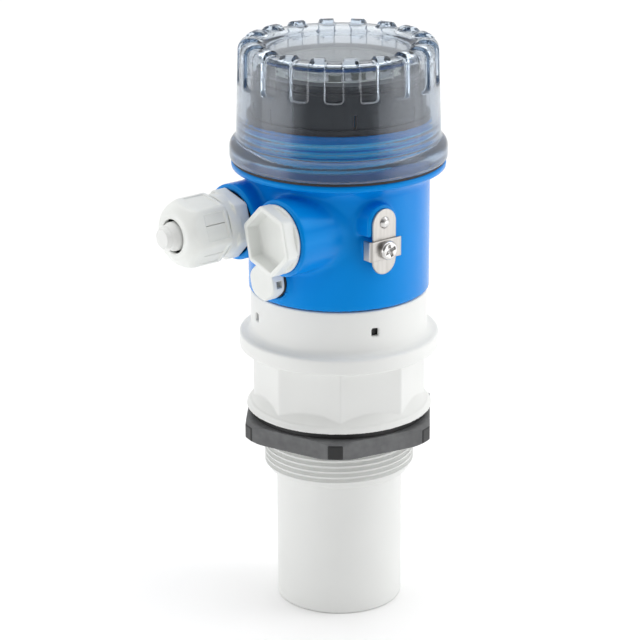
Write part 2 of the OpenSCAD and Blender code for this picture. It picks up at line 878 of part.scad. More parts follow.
module vent_plug() {
    back = vent_seat + seat_gap;
    color("whitesmoke") facing_left(vent_y, vent_z) difference() {
        union() {
            rod(vent_shank_r, back - vent_shank, back + eps);
            rotate_extrude() polygon([
                [0, back], [vent_r, back], [vent_r, back + vent_t - 0.7],
                [vent_r - 0.7, back + vent_t], [0, back + vent_t]
            ]);
        }
        // Breathing slots under the cap's rim, fed by the central bore
        for (a = [0, 90])
            rotate(a) translate([-vent_r - 1, -vent_slot / 2, back + vent_slot_up])
                cube([2 * vent_r + 2, vent_slot, vent_slot]);
        rod(vent_bore_r, back - vent_shank - 1, back + vent_slot_up + vent_slot / 3);
    }
}

module vent_o_ring() {
    color("black") facing_left(vent_y, vent_z)
        o_ring(vent_shank_r + 0.4 + vent_ring_r, vent_ring_r, vent_seat - vent_ring_r);
}

// ---- Ground terminal, with +Z pointing away from the housing ----

module ground_strip() {
    color("silver") facing_front() difference() {
        translate([0, 0, terminal_reach]) linear_extrude(strip_t) {
            translate([0, strip_up - strip_w / 2]) circle(d = strip_w);
            translate([-strip_w / 2, 0]) square([strip_w, strip_up - strip_w / 2]);
            translate([-strip_w / 2, -strip_down + strip_w / 2]) square([strip_w, strip_down]);
            translate([0, -strip_down + strip_w / 2]) circle(d = strip_w);
        }
        rod(screw_d / 2 + 0.4, 0, strip_z + 1);
        translate([0, rivet_up]) rod(1.5 + run_gap, 0, strip_z + 1);
    }
}

module ground_rivet() {
    head_h = 1.2;
    head_r = rivet_d / 2;
    ball_r = (head_r * head_r + head_h * head_h) / (2 * head_h);
    color("gainsboro") facing_front() translate([0, rivet_up]) {
        rod(1.5, terminal_reach - 2.8, strip_z + eps);
        intersection() {
            translate([0, 0, strip_z + head_h - ball_r]) sphere(r = ball_r);
            rod(head_r + 1, strip_z, strip_z + head_h + 1);
        }
    }
}

// Saddle washer with one end turned back beside the strip to hold the wire
module ground_clamp() {
    leg = 3.6;
    left = -clamp_w / 2;
    color("silver") facing_front() difference() {
        union() {
            translate([left, -clamp_h / 2, strip_z]) cube([clamp_w, clamp_h, clamp_t]);
            translate([left, -clamp_h / 2, strip_z - leg]) cube([clamp_t, clamp_h, leg + clamp_t]);
        }
        rod(screw_d / 2 + 0.4, 0, strip_z + 3);
    }
}

module ground_screw() {
    seat = strip_z + clamp_t;
    head_h = 2.5;
    head_r = screw_head_d / 2;
    cross_w = 1.1;
    color("gainsboro") facing_front() difference() {
        union() {
            rod(screw_d / 2, cavity_r + 0.6, seat + eps);
            rotate_extrude() polygon([
                [0, seat], [head_r, seat], [head_r, seat + head_h * 0.5],
                [head_r - 0.5, seat + head_h * 0.8], [head_r - 1.4, seat + head_h], [0, seat + head_h]
            ]);
        }
        for (a = [20, 110])
            rotate(a) translate([-2.3, -cross_w / 2, seat + head_h - 1.5]) cube([4.6, cross_w, 3]);
    }
}

sensor_body();
transducer_disc();
encapsulation();
sensor_board();
retaining_ring();
process_seal();
counter_nut();
housing();
swivel_seal();
main_board();
terminal_block();
terminal_screws();
seat_ring();
display_case();
display_board();
display_frame();
display_glass();
key(-1);  // key_left
key(0);  // key_middle
key(1);  // key_right
cover_seal();
cover();
gland_body();
gland_o_ring();
sealing_insert();
gland_cap();
transport_plug();
blanking_o_ring();
blanking_plug();
vent_o_ring();
vent_plug();
ground_strip();
ground_rivet();
ground_clamp();
ground_screw();
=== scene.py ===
import math

import bmesh
import bpy
import numpy as np
from mathutils import Matrix, Vector


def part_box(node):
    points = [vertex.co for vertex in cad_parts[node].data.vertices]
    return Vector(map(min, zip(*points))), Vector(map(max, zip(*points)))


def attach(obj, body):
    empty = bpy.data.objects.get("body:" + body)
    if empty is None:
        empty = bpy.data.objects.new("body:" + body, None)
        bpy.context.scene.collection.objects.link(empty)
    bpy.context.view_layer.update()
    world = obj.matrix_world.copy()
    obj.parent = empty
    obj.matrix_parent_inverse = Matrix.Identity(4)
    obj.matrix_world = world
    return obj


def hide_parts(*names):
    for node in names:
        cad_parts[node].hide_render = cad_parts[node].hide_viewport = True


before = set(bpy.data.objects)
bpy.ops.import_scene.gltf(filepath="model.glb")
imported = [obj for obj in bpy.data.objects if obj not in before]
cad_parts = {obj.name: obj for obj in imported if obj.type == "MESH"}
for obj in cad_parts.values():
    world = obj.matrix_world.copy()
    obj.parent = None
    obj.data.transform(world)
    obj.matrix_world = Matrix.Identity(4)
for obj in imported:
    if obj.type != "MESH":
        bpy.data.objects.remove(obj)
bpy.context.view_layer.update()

bl_info = {
    "name": "Level transmitter",
    "version": (1, 0, 0),
    "blender": (4, 5, 0),
    "location": "View3D > Sidebar > Transmitter",
    "description": "Dresses the packed level transmitter with moulded shells, threads and a clear cover",
    "category": "Object",
}

MM = 0.001


def edges(node):
    """Lowest and highest corner of a CAD node, in millimetres."""
    low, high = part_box(node)
    return [v / MM for v in low], [v / MM for v in high]


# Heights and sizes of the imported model, in millimetres
NUT_LOW, NUT_HIGH = edges("counter_nut")
COVER_LOW, COVER_HIGH = edges("cover")
HOUSING_LOW, HOUSING_HIGH = edges("housing")
GLAND_LOW, GLAND_HIGH = edges("gland_body")
CAP_LOW, CAP_HIGH = edges("gland_cap")
STOPPER_LOW, STOPPER_HIGH = edges("transport_plug")
PLUG_LOW, PLUG_HIGH = edges("blanking_plug")
VENT_LOW, VENT_HIGH = edges("vent_plug")
STRIP_LOW, STRIP_HIGH = edges("ground_strip")
SCREW_LOW, SCREW_HIGH = edges("ground_screw")

COLLAR_TOP = edges("sensor_body")[1][2]
SEAT = edges("process_seal")[1][2]
MOUTH_TOP = HOUSING_HIGH[2]
COVER_BOTTOM = COVER_LOW[2]
COVER_TOP = COVER_HIGH[2]
FLANGE_TOP = COVER_BOTTOM - 1
FLANGE_BOTTOM = FLANGE_TOP - 2.7
ENTRY_Z = (CAP_LOW[2] + CAP_HIGH[2]) / 2
ENTRY_Y = (STOPPER_LOW[1] + STOPPER_HIGH[1]) / 2
VENT_Y = -3
VENT_Z = (VENT_LOW[2] + VENT_HIGH[2]) / 2
TERMINAL_X = (STRIP_LOW[0] + STRIP_HIGH[0]) / 2
SCREW_Z = (SCREW_LOW[2] + SCREW_HIGH[2]) / 2

# Radii, heights and thicknesses that several pieces share
BODY_R = 35.3
BODY_BOTTOM = 131.3
MOUTH_R = 35.1
RIM_R = 42.1
CROWN_R = 4
SHOULDER_UP = 8.2
NECK_END = 41.7
FITTING_BACK = 41.8
SHANK_R = 9.9
HEX_REACH = 13.6
VENT_POCKET_R = 7.4
RIVET_UP = 10.3
ARCH_UP = 9.9
STRIP_FACE = 39
SCREW_HOLE_R = 2.4
NUT_CORNER_R = 40.5


# ---- Distance fields ----


def round_and(a, b, r):
    """Intersection of two distance fields with a rounded edge of radius r."""
    return np.minimum(np.maximum(a + r, b + r), 0) - r + np.hypot(np.maximum(a + r, 0), np.maximum(b + r, 0))


def round_or(a, b, r):
    """Union of two distance fields with a fillet of radius r."""
    return -round_and(-a, -b, r)


def cut(a, b, r):
    """a without b, with a rounded edge of radius r."""
    return round_and(a, -b, r)


def slab(z, z0, z1):
    """The space between two heights."""
    return np.abs(z - (z0 + z1) / 2) - (z1 - z0) / 2


def disc(r, z, radius, z0, z1, edge):
    """A rounded disc or shaft between two heights."""
    return round_and(r - radius, slab(z, z0, z1), edge)


def drill(solid, r, z, radius, floor):
    """A solid with a plain bore that is open above its floor."""
    return np.maximum(solid, -np.maximum(r - radius, floor - z))


def prism(x, y, flats, across, turn):
    """A prism with an even number of flats and its first corner at the turn, in degrees."""
    angles = [math.radians(turn + (i + 0.5) * 360 / flats) for i in range(flats // 2)]
    return np.max([np.abs(x * math.cos(a) + y * math.sin(a)) for a in angles], axis=0) - across / 2


def from_entry(p, y0, z0):
    """Coordinates with +Z pointing out of an entry at the left."""
    return p[2] - z0, p[1] - y0, -p[0]


def entry_box(low, high, y, z, reach):
    """Corners of the space round a piece that lies along an entry."""
    return (low[0], y - reach, z - reach), (high[0], y + reach, z + reach)


def from_terminal(p):
    """Coordinates with +Z pointing out of the ground terminal."""
    return p[0] - TERMINAL_X, p[2] - SCREW_Z, -p[1]


def add_object(name, data):
    """Puts an object in the scene."""
    piece = bpy.data.objects.new(name, data)
    bpy.context.scene.collection.objects.link(piece)
    return piece


SLICES = 24
PASSES = 4
NUDGE = 0.02


def skin(name, field, low, high, step):
    """A closed mesh on the zero level of a distance field, in metres."""
    axes = [np.arange(low[i] - 2 * step, high[i] + 2.5 * step, step) for i in range(3)]
    shape = [len(a) for a in axes]
    values = np.empty(shape, np.float32)
    # A few slices at a time, to spare memory
    for k in range(0, shape[0], SLICES):
        grid = np.meshgrid(axes[0][k:k + SLICES], axes[1], axes[2], indexing="ij")
        values[k:k + SLICES] = field(grid)
    inside = values < 0
    cells = np.zeros([n - 1 for n in shape], np.uint8)
    corners = [(i, j, k) for i in (0, 1) for j in (0, 1) for k in (0, 1)]
    sx, sy, sz = (n - 1 for n in shape)
    for i, j, k in corners:
        cells += inside[i:i + sx, j:j + sy, k:k + sz]
    active = np.argwhere((cells > 0) & (cells < 8))
    index = -np.ones(cells.shape, np.int64)
    index[tuple(active.T)] = np.arange(len(active))
    total = np.zeros((len(active), 3))
    count = np.zeros(len(active))
    for a, ca in enumerate(corners):
        for cb in corners[a + 1:]:
            if sum(abs(m - n) for m, n in zip(ca, cb)) != 1:
                continue
            va = values[tuple((active + ca).T)]
            vb = values[tuple((active + cb).T)]
            hit = (va < 0) != (vb < 0)
            t = np.where(hit, va / np.where(hit, va - vb, 1), 0)[:, None]
            total += np.where(hit[:, None], np.array(ca) * (1 - t) + np.array(cb) * t, 0)
            count += hit
    first = points = (active + total / count[:, None]) * step + [a[0] for a in axes]
    # Draw the points onto the surface itself, without leaving their cells
    for _ in range(PASSES):
        p = points.T
        d = field(p)
        nudged = [[p[j] + (NUDGE if i == j else 0) for j in range(3)] for i in range(3)]
        slope = np.stack([field(q) - d for q in nudged], 1)
        slope /= np.maximum(np.linalg.norm(slope, axis=1), 1e-6)[:, None]
        points = points - slope * np.clip(d, -step / 3, step / 3)[:, None]
    moved = points - first
    length = np.maximum(np.linalg.norm(moved, axis=1), 1e-9)[:, None]
    points = first + moved * np.minimum(1, 0.8 * step / length)
    quads = []
    for axis in range(3):
        u, v = (axis + 1) % 3, (axis + 2) % 3
        ahead = [slice(None)] * 3
        ahead[axis] = slice(1, None)
        behind = [slice(None)] * 3
        behind[axis] = slice(None, -1)
        start = inside[tuple(behind)]
        crossing = np.argwhere(start != inside[tuple(ahead)])
        crossing = crossing[(crossing[:, u] > 0) & (crossing[:, v] > 0)]
        out = start[tuple(crossing.T)]
        ring = []
        for du, dv in ((0, 0), (1, 0), (1, 1), (0, 1)):
            c = crossing.copy()
            c[:, u] -= du
            c[:, v] -= dv
            ring.append(index[tuple(c.T)])
        ring = np.stack(ring, 1)
        ring[~out] = ring[~out][:, ::-1]
        quads.append(ring)
    faces = np.concatenate(quads)
    mesh = bpy.data.meshes.new(name)
    mesh.vertices.add(len(points))
    mesh.vertices.foreach_set("co", (points * MM).astype(np.float32).ravel())
    mesh.loops.add(faces.size)
    mesh.loops.foreach_set("vertex_index", faces.astype(np.int32).ravel())
    mesh.polygons.add(len(faces))
    mesh.polygons.foreach_set("loop_start", np.arange(0, faces.size, 4, dtype=np.int32))
    mesh.update(calc_edges=True)
    mesh.shade_smooth()
    return add_object(name, mesh)


# ---- Pieces and materials ----


def lathe(name, profile, segments=192):
    """A closed solid of revolution from (radius, height) points, in millimetres."""
    bm = bmesh.new()
    angles = [2 * math.pi * i / segments for i in range(segments)]
    rings = []
    for r, z in profile:
        rings.append([bm.verts.new((r * MM * math.cos(a), r * MM * math.sin(a), z * MM))
                      for a in (angles if r else angles[:1])])
    for a, b in zip(rings, rings[1:] + rings[:1]):
        if len(a) == 1 and len(b) == 1:
            continue
        for i in range(segments):
            j = (i + 1) % segments
            if len(a) == 1:
                bm.faces.new((a[0], b[j], b[i]))
            elif len(b) == 1:
                bm.faces.new((a[i], a[j], b[0]))
            else:
                bm.faces.new((a[i], a[j], b[j], b[i]))
    bmesh.ops.recalc_face_normals(bm, faces=bm.faces[:])
    mesh = bpy.data.meshes.new(name)
    bm.to_mesh(mesh)
    bm.free()
    mesh.shade_smooth()
    return add_object(name, mesh)


def sharpen(piece, angle):
    """Keeps edges over the angle crisp."""
    piece.data.set_sharp_from_angle(angle=math.radians(angle))


def finish(piece, look, body, slot, *nodes):
    """Gives a piece its material and its body, and hides the nodes that it stands for. The slot is not used.
    """
    if look is not None:
        piece.data.materials.clear()
        piece.data.materials.append(look)
    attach(piece, body)
    if nodes:
        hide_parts(*nodes)


class Tree:
    """Adds nodes to a node tree."""

    def __init__(self, tree):
        self.tree = tree

    def put(self, value, socket):
        """Gives a socket its value or its link."""
        if isinstance(value, bpy.types.NodeSocket):
            self.tree.links.new(value, socket)
        else:
            socket.default_value = value

    def add(self, kind, **values):
        """A node with its settings and the values or links of its sockets."""
        node = self.tree.nodes.new(kind)
        for key, value in values.items():
            if hasattr(node, key):
                setattr(node, key, value)
            else:
                self.put(value, node.inputs[key.replace("_", " ")])
        return node

    def fill(self, node, *values):
        """Gives a node's first sockets their values or links."""
        for socket, value in zip(node.inputs, values):
            self.put(value, socket)
        return node.outputs[0] if node.outputs else None

    def maths(self, operation, *values):
        return self.fill(self.add("ShaderNodeMath", operation=operation), *values)


class Shader(Tree):
    """Builds a node material on one Principled shader."""

    def __init__(self, name):
        self.material = bpy.data.materials.new(name)
        self.material.use_nodes = True
        super().__init__(self.material.node_tree)
        self.tree.nodes.clear()
        self.surface = self.add("ShaderNodeBsdfPrincipled")
        self.output = self.add("ShaderNodeOutputMaterial", Surface=self.surface.outputs[0])
        self.place = self.add("ShaderNodeTexCoord").outputs["Object"]

    def set(self, **values):
        """Gives the surface its values or links."""
        for key, value in values.items():
            self.put(value, self.surface.inputs[key.replace("_", " ")])

    def axes(self):
        """The coordinates of a point on the piece."""
        return self.add("ShaderNodeSeparateXYZ", Vector=self.place).outputs[:3]

    def noise(self, scale, detail, stretch=None):
        """Noise in cycles per metre, which may be stretched along an axis."""
        place = self.place
        if stretch:
            place = self.add("ShaderNodeMapping", Vector=place, Scale=stretch).outputs[0]
        return self.add("ShaderNodeTexNoise", Vector=place, Scale=scale, Detail=detail).outputs["Fac"]

    def ramp(self, value, first, last, low, high):
        """Maps a range of values to another."""
        return self.add("ShaderNodeMapRange", Value=value, From_Min=first, From_Max=last,
                        To_Min=low, To_Max=high).outputs[0]

    def spread(self, value, low, high):
        """Maps the usual range of a noise to another."""
        return self.ramp(value, 0.3, 0.7, low, high)

    def radius(self, x, y):
        """Distance from the device's axis."""
        return self.maths("SQRT", self.maths("ADD", self.maths("POWER", x, 2.0), self.maths("POWER", y, 2.0)))

    def mix(self, value, first, second):
        """Blends two colours by a value."""
        node = self.add("ShaderNodeMix", data_type="RGBA", Factor=value)
        for socket, colour in zip([i for i in node.inputs if i.type == "RGBA"], (first, second)):
            self.put((*colour, 1) if isinstance(colour, tuple) else colour, socket)
        return next(o for o in node.outputs if o.type == "RGBA")

    def mottle(self, scale, detail, first, second):
        """Two colours blended by a noise."""
        return self.mix(self.spread(self.noise(scale, detail), 0, 1), tuple(first), tuple(second))

    def tint(self, *values):
        """Varies the base colour by a noise."""
        self.set(Base_Color=self.mottle(*values))

    def rough(self, scale, detail, low, high):
        """Varies the roughness by a noise."""
        self.set(Roughness=self.spread(self.noise(scale, detail), low, high))

    def bump(self, scale, detail, strength, distance):
        """Raises the surface by a noise."""
        height = self.noise(scale, detail)
        node = self.add("ShaderNodeBump", Strength=strength, Distance=distance, Height=height)
        self.set(Normal=node.outputs[0])


def linear(colour):
    """A display colour from 0 to 255 as linear light."""
    parts = (v / 255 for v in colour)
    return tuple(c / 12.92 if c <= 0.04045 else ((c + 0.055) / 1.055) ** 2.4 for c in parts)


def shade(colour, factor):
    return tuple(min(1.0, c * factor) for c in colour[:3])


# Finishes without a pattern: values, then the noises of the colour, the roughness and the bump
PLAIN = {
    "seal_rubber": ({"Roughness": 0.6}, (400, 3, (0.010, 0.010, 0.011), (0.018, 0.018, 0.019)),
                    None, (3000, 3, 0.2, 0.00004)),
    "key_rubber": ({"Roughness": 0.55}, (500, 2, linear((142, 146, 142)), linear((154, 158, 154))),
                   None, (4000, 2, 0.2, 0.00003)),
    "polished_steel": ({"Metallic": 1.0}, (700, 3, (0.55, 0.54, 0.53), (0.70, 0.69, 0.68)),
                       (900, 3, 0.12, 0.24), None),
    "black_steel": ({"Metallic": 1.0, "Roughness": 0.4}, (600, 3, (0.02, 0.02, 0.02), (0.05, 0.05, 0.05)),
                    None, None),
    "board_green": ({"Roughness": 0.4}, (300, 4, (0.008, 0.06, 0.02), (0.015, 0.10, 0.04)),
                    None, (1200, 3, 0.3, 0.0001)),
    "block_dark": ({"Roughness": 0.5}, (200, 3, (0.03, 0.045, 0.035), (0.045, 0.06, 0.05)),
                   None, (2500, 3, 0.2, 0.00004)),
    "resin": ({"Roughness": 0.3}, (80, 4, (0.015, 0.02, 0.02), (0.03, 0.035, 0.035)),
              None, (300, 3, 0.2, 0.0001)),
    "ceramic": ({"Roughness": 0.55}, (500, 4, (0.42, 0.42, 0.43), (0.52, 0.52, 0.53)),
                None, (2000, 3, 0.2, 0.00005)),
}
MATERIALS = {}


def material(name):
    """A finish by name, made once."""
    if name in MATERIALS:
        return MATERIALS[name]
    look = bpy.context.scene.transmitter_finish
    s = Shader(name)
    if name in PLAIN:
        values, colours, rough, bump = PLAIN[name]
        s.set(**values)
        s.tint(*colours)
        if rough:
            s.rough(*rough)
        if bump:
            s.bump(*bump)
    elif name == "moulded_blue":
        base = look.blue[:3]
        s.set(Specular_IOR_Level=0.4, Specular_Tint=(0.15, 0.7, 1.0, 1))
        # Painted shade: the spigot, where it turns in the collar, is painted near black to darken the gap
        # below the body's bottom edge
        x, y, z = s.axes()
        painted_gap_shade = s.maths("MULTIPLY", s.maths("LESS_THAN", s.radius(x, y), (BODY_R - 1.5) * MM),
                          s.maths("LESS_THAN", z, (BODY_BOTTOM + 0.4) * MM))
        plain = s.mottle(45, 2, shade(base, 0.96), shade(base, 1.04))
        s.set(Base_Color=s.mix(painted_gap_shade, plain, shade(base, 0.05)))
        s.rough(900, 2, 0.2, 0.26)
        s.bump(2600, 2, 0.03, 0.00003)
    elif name == "thread_blue_painted_light":
        # Painted light: the thread's blue is lifted to 2.4 times the housing blue, standing in for light that
        # reaches it through the cover
        base = tuple(c + 0.03 for c in shade(look.blue[:3], 2.4))
        s.tint(60, 2, shade(base, 0.96), shade(base, 1.04))
        s.rough(900, 2, 0.16, 0.24)
    elif name == "moulded_white":
        base = look.white[:3]
        s.set(IOR=1.49)
        s.tint(30, 2, shade(base, 0.975), shade(base, 1.01))
        s.rough(700, 2, 0.4, 0.47)
        s.bump(2500, 3, 0.1, 0.00004)
    elif name == "gland_white":
        base = look.gland[:3]
        s.set(IOR=1.53)
        s.tint(120, 2, shade(base, 0.97), shade(base, 1.02))
        s.rough(1500, 2, 0.34, 0.42)
        s.bump(5000, 2, 0.08, 0.00003)
    elif name == "nut_black":
        base = look.nut[:3]
        s.set(Specular_IOR_Level=0.3)
        # Painted shade: the cut corners are painted at a fifth of the nut's colour, standing in for the dark
        # reflection a facet shows; the flats keep a mottled colour
        corner = s.maths("GREATER_THAN", s.radius(*s.axes()[:2]), (NUT_CORNER_R - 0.25) * MM)
        flats = s.mottle(260, 5, shade(base, 0.85), shade(base, 1.2))
        s.set(Base_Color=s.mix(corner, flats, shade(base, 0.2)))
        s.rough(600, 4, 0.3, 0.42)
        s.bump(1800, 5, 0.2, 0.00006)
    elif name == "smoke_clear":
        s.set(Transmission_Weight=1.0, Base_Color=(1, 1, 1, 1), Specular_Tint=(0.4, 0.42, 0.46, 1))
        s.rough(200, 2, 0.02, 0.05)
        # Haze that gathers where the side walls are seen edge-on
        haze = (*look.haze[:3], 1)
        sides = [s.add("ShaderNodeBsdf" + kind, Color=haze).outputs[0] for kind in ("Diffuse", "Translucent")]
        both = s.fill(s.add("ShaderNodeMixShader"), 0.5, *sides)
        rim = s.add("ShaderNodeLayerWeight", Blend=0.5)
        amount = s.ramp(rim.outputs["Facing"], 0.07, 0.2, look.haze_low, look.haze_high)
        height = s.axes()[2]
        side = s.ramp(height, (COVER_TOP - CROWN_R) * MM, (COVER_TOP - 2 * CROWN_R) * MM, 0, 1)
        skirt = s.maths("LESS_THAN", height, (COVER_BOTTOM + SHOULDER_UP + 0.4) * MM)
        skirt = s.maths("MULTIPLY", skirt, 0.07)
        share = s.maths("MAXIMUM", s.maths("MULTIPLY", amount, side), skirt)
        cover = s.fill(s.add("ShaderNodeMixShader"), share, s.surface.outputs[0], both)
        body = s.add("ShaderNodeVolumeAbsorption", Color=(*look.smoke[:3], 1), Density=look.smoke_density)
        s.fill(s.output, cover, body.outputs[0])
    elif name == "case_dark":
        s.set(Specular_IOR_Level=0.4)
        s.tint(150, 2, shade(look.case[:3], 0.9), shade(look.case[:3], 1.1))
        s.rough(500, 2, 0.28, 0.34)
    elif name == "frame_light":
        s.set(Roughness=0.45)
        # The pale bezel sits in a dark ring
        pale = s.mottle(150, 2, linear((176, 180, 174)), linear((184, 188, 182)))
        outside = s.maths("GREATER_THAN", s.radius(*s.axes()[:2]), 24 * MM)
        s.set(Base_Color=s.mix(outside, pale, shade(look.case[:3], 1.6)))
        s.bump(3000, 2, 0.05, 0.00003)
    elif name == "panel_glass":
        # A dark panel with a lighter display field
        s.set(Roughness=0.12, Coat_Weight=0.5)
        field = [s.maths("LESS_THAN", s.maths("ABSOLUTE", s.maths("SUBTRACT", value, centre)), half)
                 for value, centre, half in zip(s.axes(), (0.0, 0.0045), (0.015, 0.0085))]
        inside = s.maths("MULTIPLY", *field)
        s.set(Base_Color=s.mix(inside, linear((110, 110, 104)), linear((126, 130, 120))))
    elif name == "stainless":
        s.set(Metallic=1.0)
        grain = s.noise(900, 4, stretch=(1, 1, 0.08))
        s.set(Base_Color=s.mix(s.spread(grain, 0, 1), (0.40, 0.385, 0.365), (0.49, 0.475, 0.455)),
              Roughness=s.spread(grain, 0.3, 0.4))
        s.bump(2500, 3, 0.08, 0.00003)
    MATERIALS[name] = s.material
    return s.material


def dress(node, name):
    """Gives a kept CAD node a finish."""
    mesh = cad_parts[node].data
    mesh.materials.clear()
    mesh.materials.append(material(name))


# ---- Settings ----


def colour(name, description, default):
    return bpy.props.FloatVectorProperty(
        name=name, description=description, subtype="COLOR", size=3, min=0, max=1, default=default)


def number(name, description, default, low=0, high=1000):
    return bpy.props.FloatProperty(name=name, description=description, default=default, min=low, max=high)


class TRANSMITTER_PG_finish(bpy.types.PropertyGroup):
    """Colours of the finishes"""

    blue: colour("Housing", "Moulded housing", linear((0, 130, 216)))
    white: colour("Process connection", "Moulded process connection", linear((228, 229, 227)))
    gland: colour("Glands and plugs", "Moulded fittings", linear((230, 232, 229)))
    nut: colour("Counter nut", "Glass-filled counter nut", linear((96, 97, 98)))
    smoke: colour("Cover tint", "Colour that the clear cover lets through", (0.46, 0.6, 0.74))
    smoke_density: number("Cover tint depth", "How strongly a metre of the cover absorbs light", 120)
    haze: colour("Cover haze", "Colour of the haze in the clear cover", (0.9, 0.92, 0.95))
    haze_low: number("Haze face-on", "Share of haze where the cover is seen face-on", 0, high=1)
    haze_high: number("Haze edge-on", "Share of haze where the cover is seen edge-on", 0.22, high=1)
    case: colour("Display case", "Case below the cover", linear((8, 13, 19)))


class TRANSMITTER_PG_sizes(bpy.types.PropertyGroup):
    """Sizes of the details"""

    neck_fillet: number("Neck fillet", "Fillet where the necks leave the housing, in millimetres", 2.2, 0.5, 6)
    boss_fillet: number("Boss fillet", "Fillet round the terminal boss, in millimetres", 1.4, 0.5, 4)
    groove_depth: number("Grip groove depth", "Depth of the grip grooves, in millimetres", 1.6, 0.5, 1.9)
    grooves: bpy.props.IntProperty(
        name="Grip grooves", description="Number of grip grooves round the cover", default=18, min=6, max=24)
    process_pitch: number("Process thread pitch", "Pitch of the process thread, in millimetres", 2.309, 1.5, 3)
    mouth_pitch: number("Mouth thread pitch", "Pitch of the cover's thread, in millimetres", 3.1, 2, 4)


class TRANSMITTER_PG_stage(bpy.types.PropertyGroup):
    """Camera and light"""

    azimuth: bpy.props.FloatProperty(
        name="Azimuth", description="Azimuth of the camera", subtype="ANGLE", default=math.radians(-40))
    lens: number("Lens", "Focal length on a 36 mm sensor, in millimetres", 142.45, 20, 400)
    back_light: number("Surround", "Strength of the surround behind and beside the device", 0.74)
    front_light: number("Front", "Strength of the surround on the viewer's side", 0.2)
    key_power: number("Key light", "Power of the key light in watts", 0.4)
    kicker_power: number("Kicker", "Power of the high side light in watts", 2.2)
    fill_power: number("Fill light", "Power of the fill light in watts", 0.45)
    top_power: number("Top light", "Power of the top light in watts", 90)
    floor: colour("Floor", "Colour of the floor", (0.95, 0.95, 0.95))


# ---- Stage ----


CAMERA_AT = (-0.61195, -0.71770, 0.44460)
CAMERA_TILT = math.radians(19.2125)
CAMERA_ROLL = math.radians(-0.2433)


def outward(turn, tilt):
    """A direction away from the device."""
    return Vector((math.sin(turn) * math.cos(tilt), -math.cos(turn) * math.cos(tilt), math.sin(tilt)))


class TRANSMITTER_OT_stage(bpy.types.Operator):
    """Adds the camera, the floor and the studio light"""

    bl_idname = "transmitter.stage"
    bl_label = "Studio"

    def execute(self, context):
        scene = context.scene
        setting = scene.transmitter_stage
        a, c, s = setting.azimuth, math.cos(CAMERA_ROLL), math.sin(CAMERA_ROLL)
        back = outward(a, CAMERA_TILT)
        right = Vector((math.cos(a), math.sin(a), 0))
        up = back.cross(right)
        right, up = right * c + up * s, up * c - right * s
        camera = add_object("camera", bpy.data.cameras.new("camera"))
        camera.data.lens = setting.lens
        camera.data.sensor_width = 36
        camera.data.clip_start = 0.05
        camera.data.clip_end = 40
        camera.matrix_world = Matrix((*zip(right, up, back, CAMERA_AT), (0, 0, 0, 1)))
        scene.camera = camera

        mesh = bpy.data.meshes.new("floor")
        far = 12
        mesh.from_pydata([(-far, -far, 0), (far, -far, 0), (far, far, 0), (-far, far, 0)], [], [(0, 1, 2, 3)])
        floor = add_object("floor", mesh)
        paint = Shader("floor_paint")
        paint.set(Roughness=0.8)
        paint.tint(3, 2, shade(setting.floor, 0.99), setting.floor[:3])
        mesh.materials.append(paint.material)

        world = bpy.data.worlds.new("studio")
        world.use_nodes = True
        sky = Tree(world.node_tree)
        facing = sky.add("ShaderNodeVectorMath", operation="DOT_PRODUCT")
        sky.fill(facing, sky.add("ShaderNodeTexCoord").outputs["Generated"], (math.sin(a), -math.cos(a), 0))
        fade = sky.add("ShaderNodeMapRange", interpolation_type="SMOOTHSTEP", Value=facing.outputs["Value"],
                       From_Min=0.45, From_Max=0.93, To_Min=setting.back_light, To_Max=setting.front_light)
        sky.fill(world.node_tree.nodes["Background"], (1, 1, 1, 1), fade.outputs[0])
        scene.world = world

        for name, azimuth, tilt, distance, centre, size, power in (
                ("kicker", 92, 35, 1.1, 0.15, (0.5, 0.6), setting.kicker_power),
                ("key", 72, 0, 0.46, 0.13, (0.5, 0.22), setting.key_power),
                ("fill", -72, 0, 0.46, 0.13, (0.34, 0.22), setting.fill_power),
                ("top", 180, 78, 3.9, 0.12, (4.8, 4.8), setting.top_power)):
            out = outward(a + math.radians(azimuth), math.radians(tilt))
            data = bpy.data.lights.new(name, "AREA")
            data.shape = "RECTANGLE"
            data.size, data.size_y = size
            data.energy = power
            light = add_object(name, data)
            light.location = Vector((0, 0, centre)) + out * distance
            light.rotation_euler = (-out).to_track_quat("-Z", "Y").to_euler()
            light.visible_camera = False
        scene.view_settings.view_transform = "Standard"
        return {"FINISHED"}


# ---- Kept nodes ----


class TRANSMITTER_OT_finishes(bpy.types.Operator):
    """Gives the kept nodes their finishes"""

    bl_idname = "transmitter.finishes"
    bl_label = "Inner pieces and seals"

    def execute(self, context):
        for name, nodes in {
            "seal_rubber": ("process_seal", "swivel_seal", "cover_seal", "gland_o_ring", "sealing_insert",
                            "blanking_o_ring", "vent_o_ring", "seat_ring"),
            "case_dark": ("display_case",),
            "frame_light": ("display_frame",),
            "panel_glass": ("display_glass",),
            "key_rubber": ("key_left", "key_middle", "key_right"),
            "board_green": ("sensor_board", "main_board", "display_board"),
            "block_dark": ("terminal_block",),
            "polished_steel": ("terminal_screws",),
            "black_steel": ("retaining_ring",),
            "resin": ("encapsulation",),
            "ceramic": ("transducer_disc",),
        }.items():
            for node in nodes:
                dress(node, name)
        return {"FINISHED"}


# ---- Process connection ----


def arc(centre, radius, first, last, steps=6):
    """Points on an arc between two angles in degrees."""
    angles = [math.radians(first + (last - first) * i / steps) for i in range(steps + 1)]
    return [(centre[0] + radius * math.cos(a), centre[1] + radius * math.sin(a)) for a in angles]


SENSOR_TURN = -17 - 90
THREAD_BOTTOM = SEAT - 25.8
SEAT_R = 35.4
SEAT_TOP = SEAT + 2.6
OCTAGON_TOP = SEAT_TOP + 22.6
RING_TOP = OCTAGON_TOP + 6.4
OCTAGON_ACROSS = 62.6
RING_R = 39.2
COLLAR_R = 34.7
FILLET_R = 2.4
WINDOW_UP = 8.9
WINDOW_HALF = 1.55
ROOT_R = 28.25
TUBE_R = 25
BORE_R = 22
FACE_T = 4


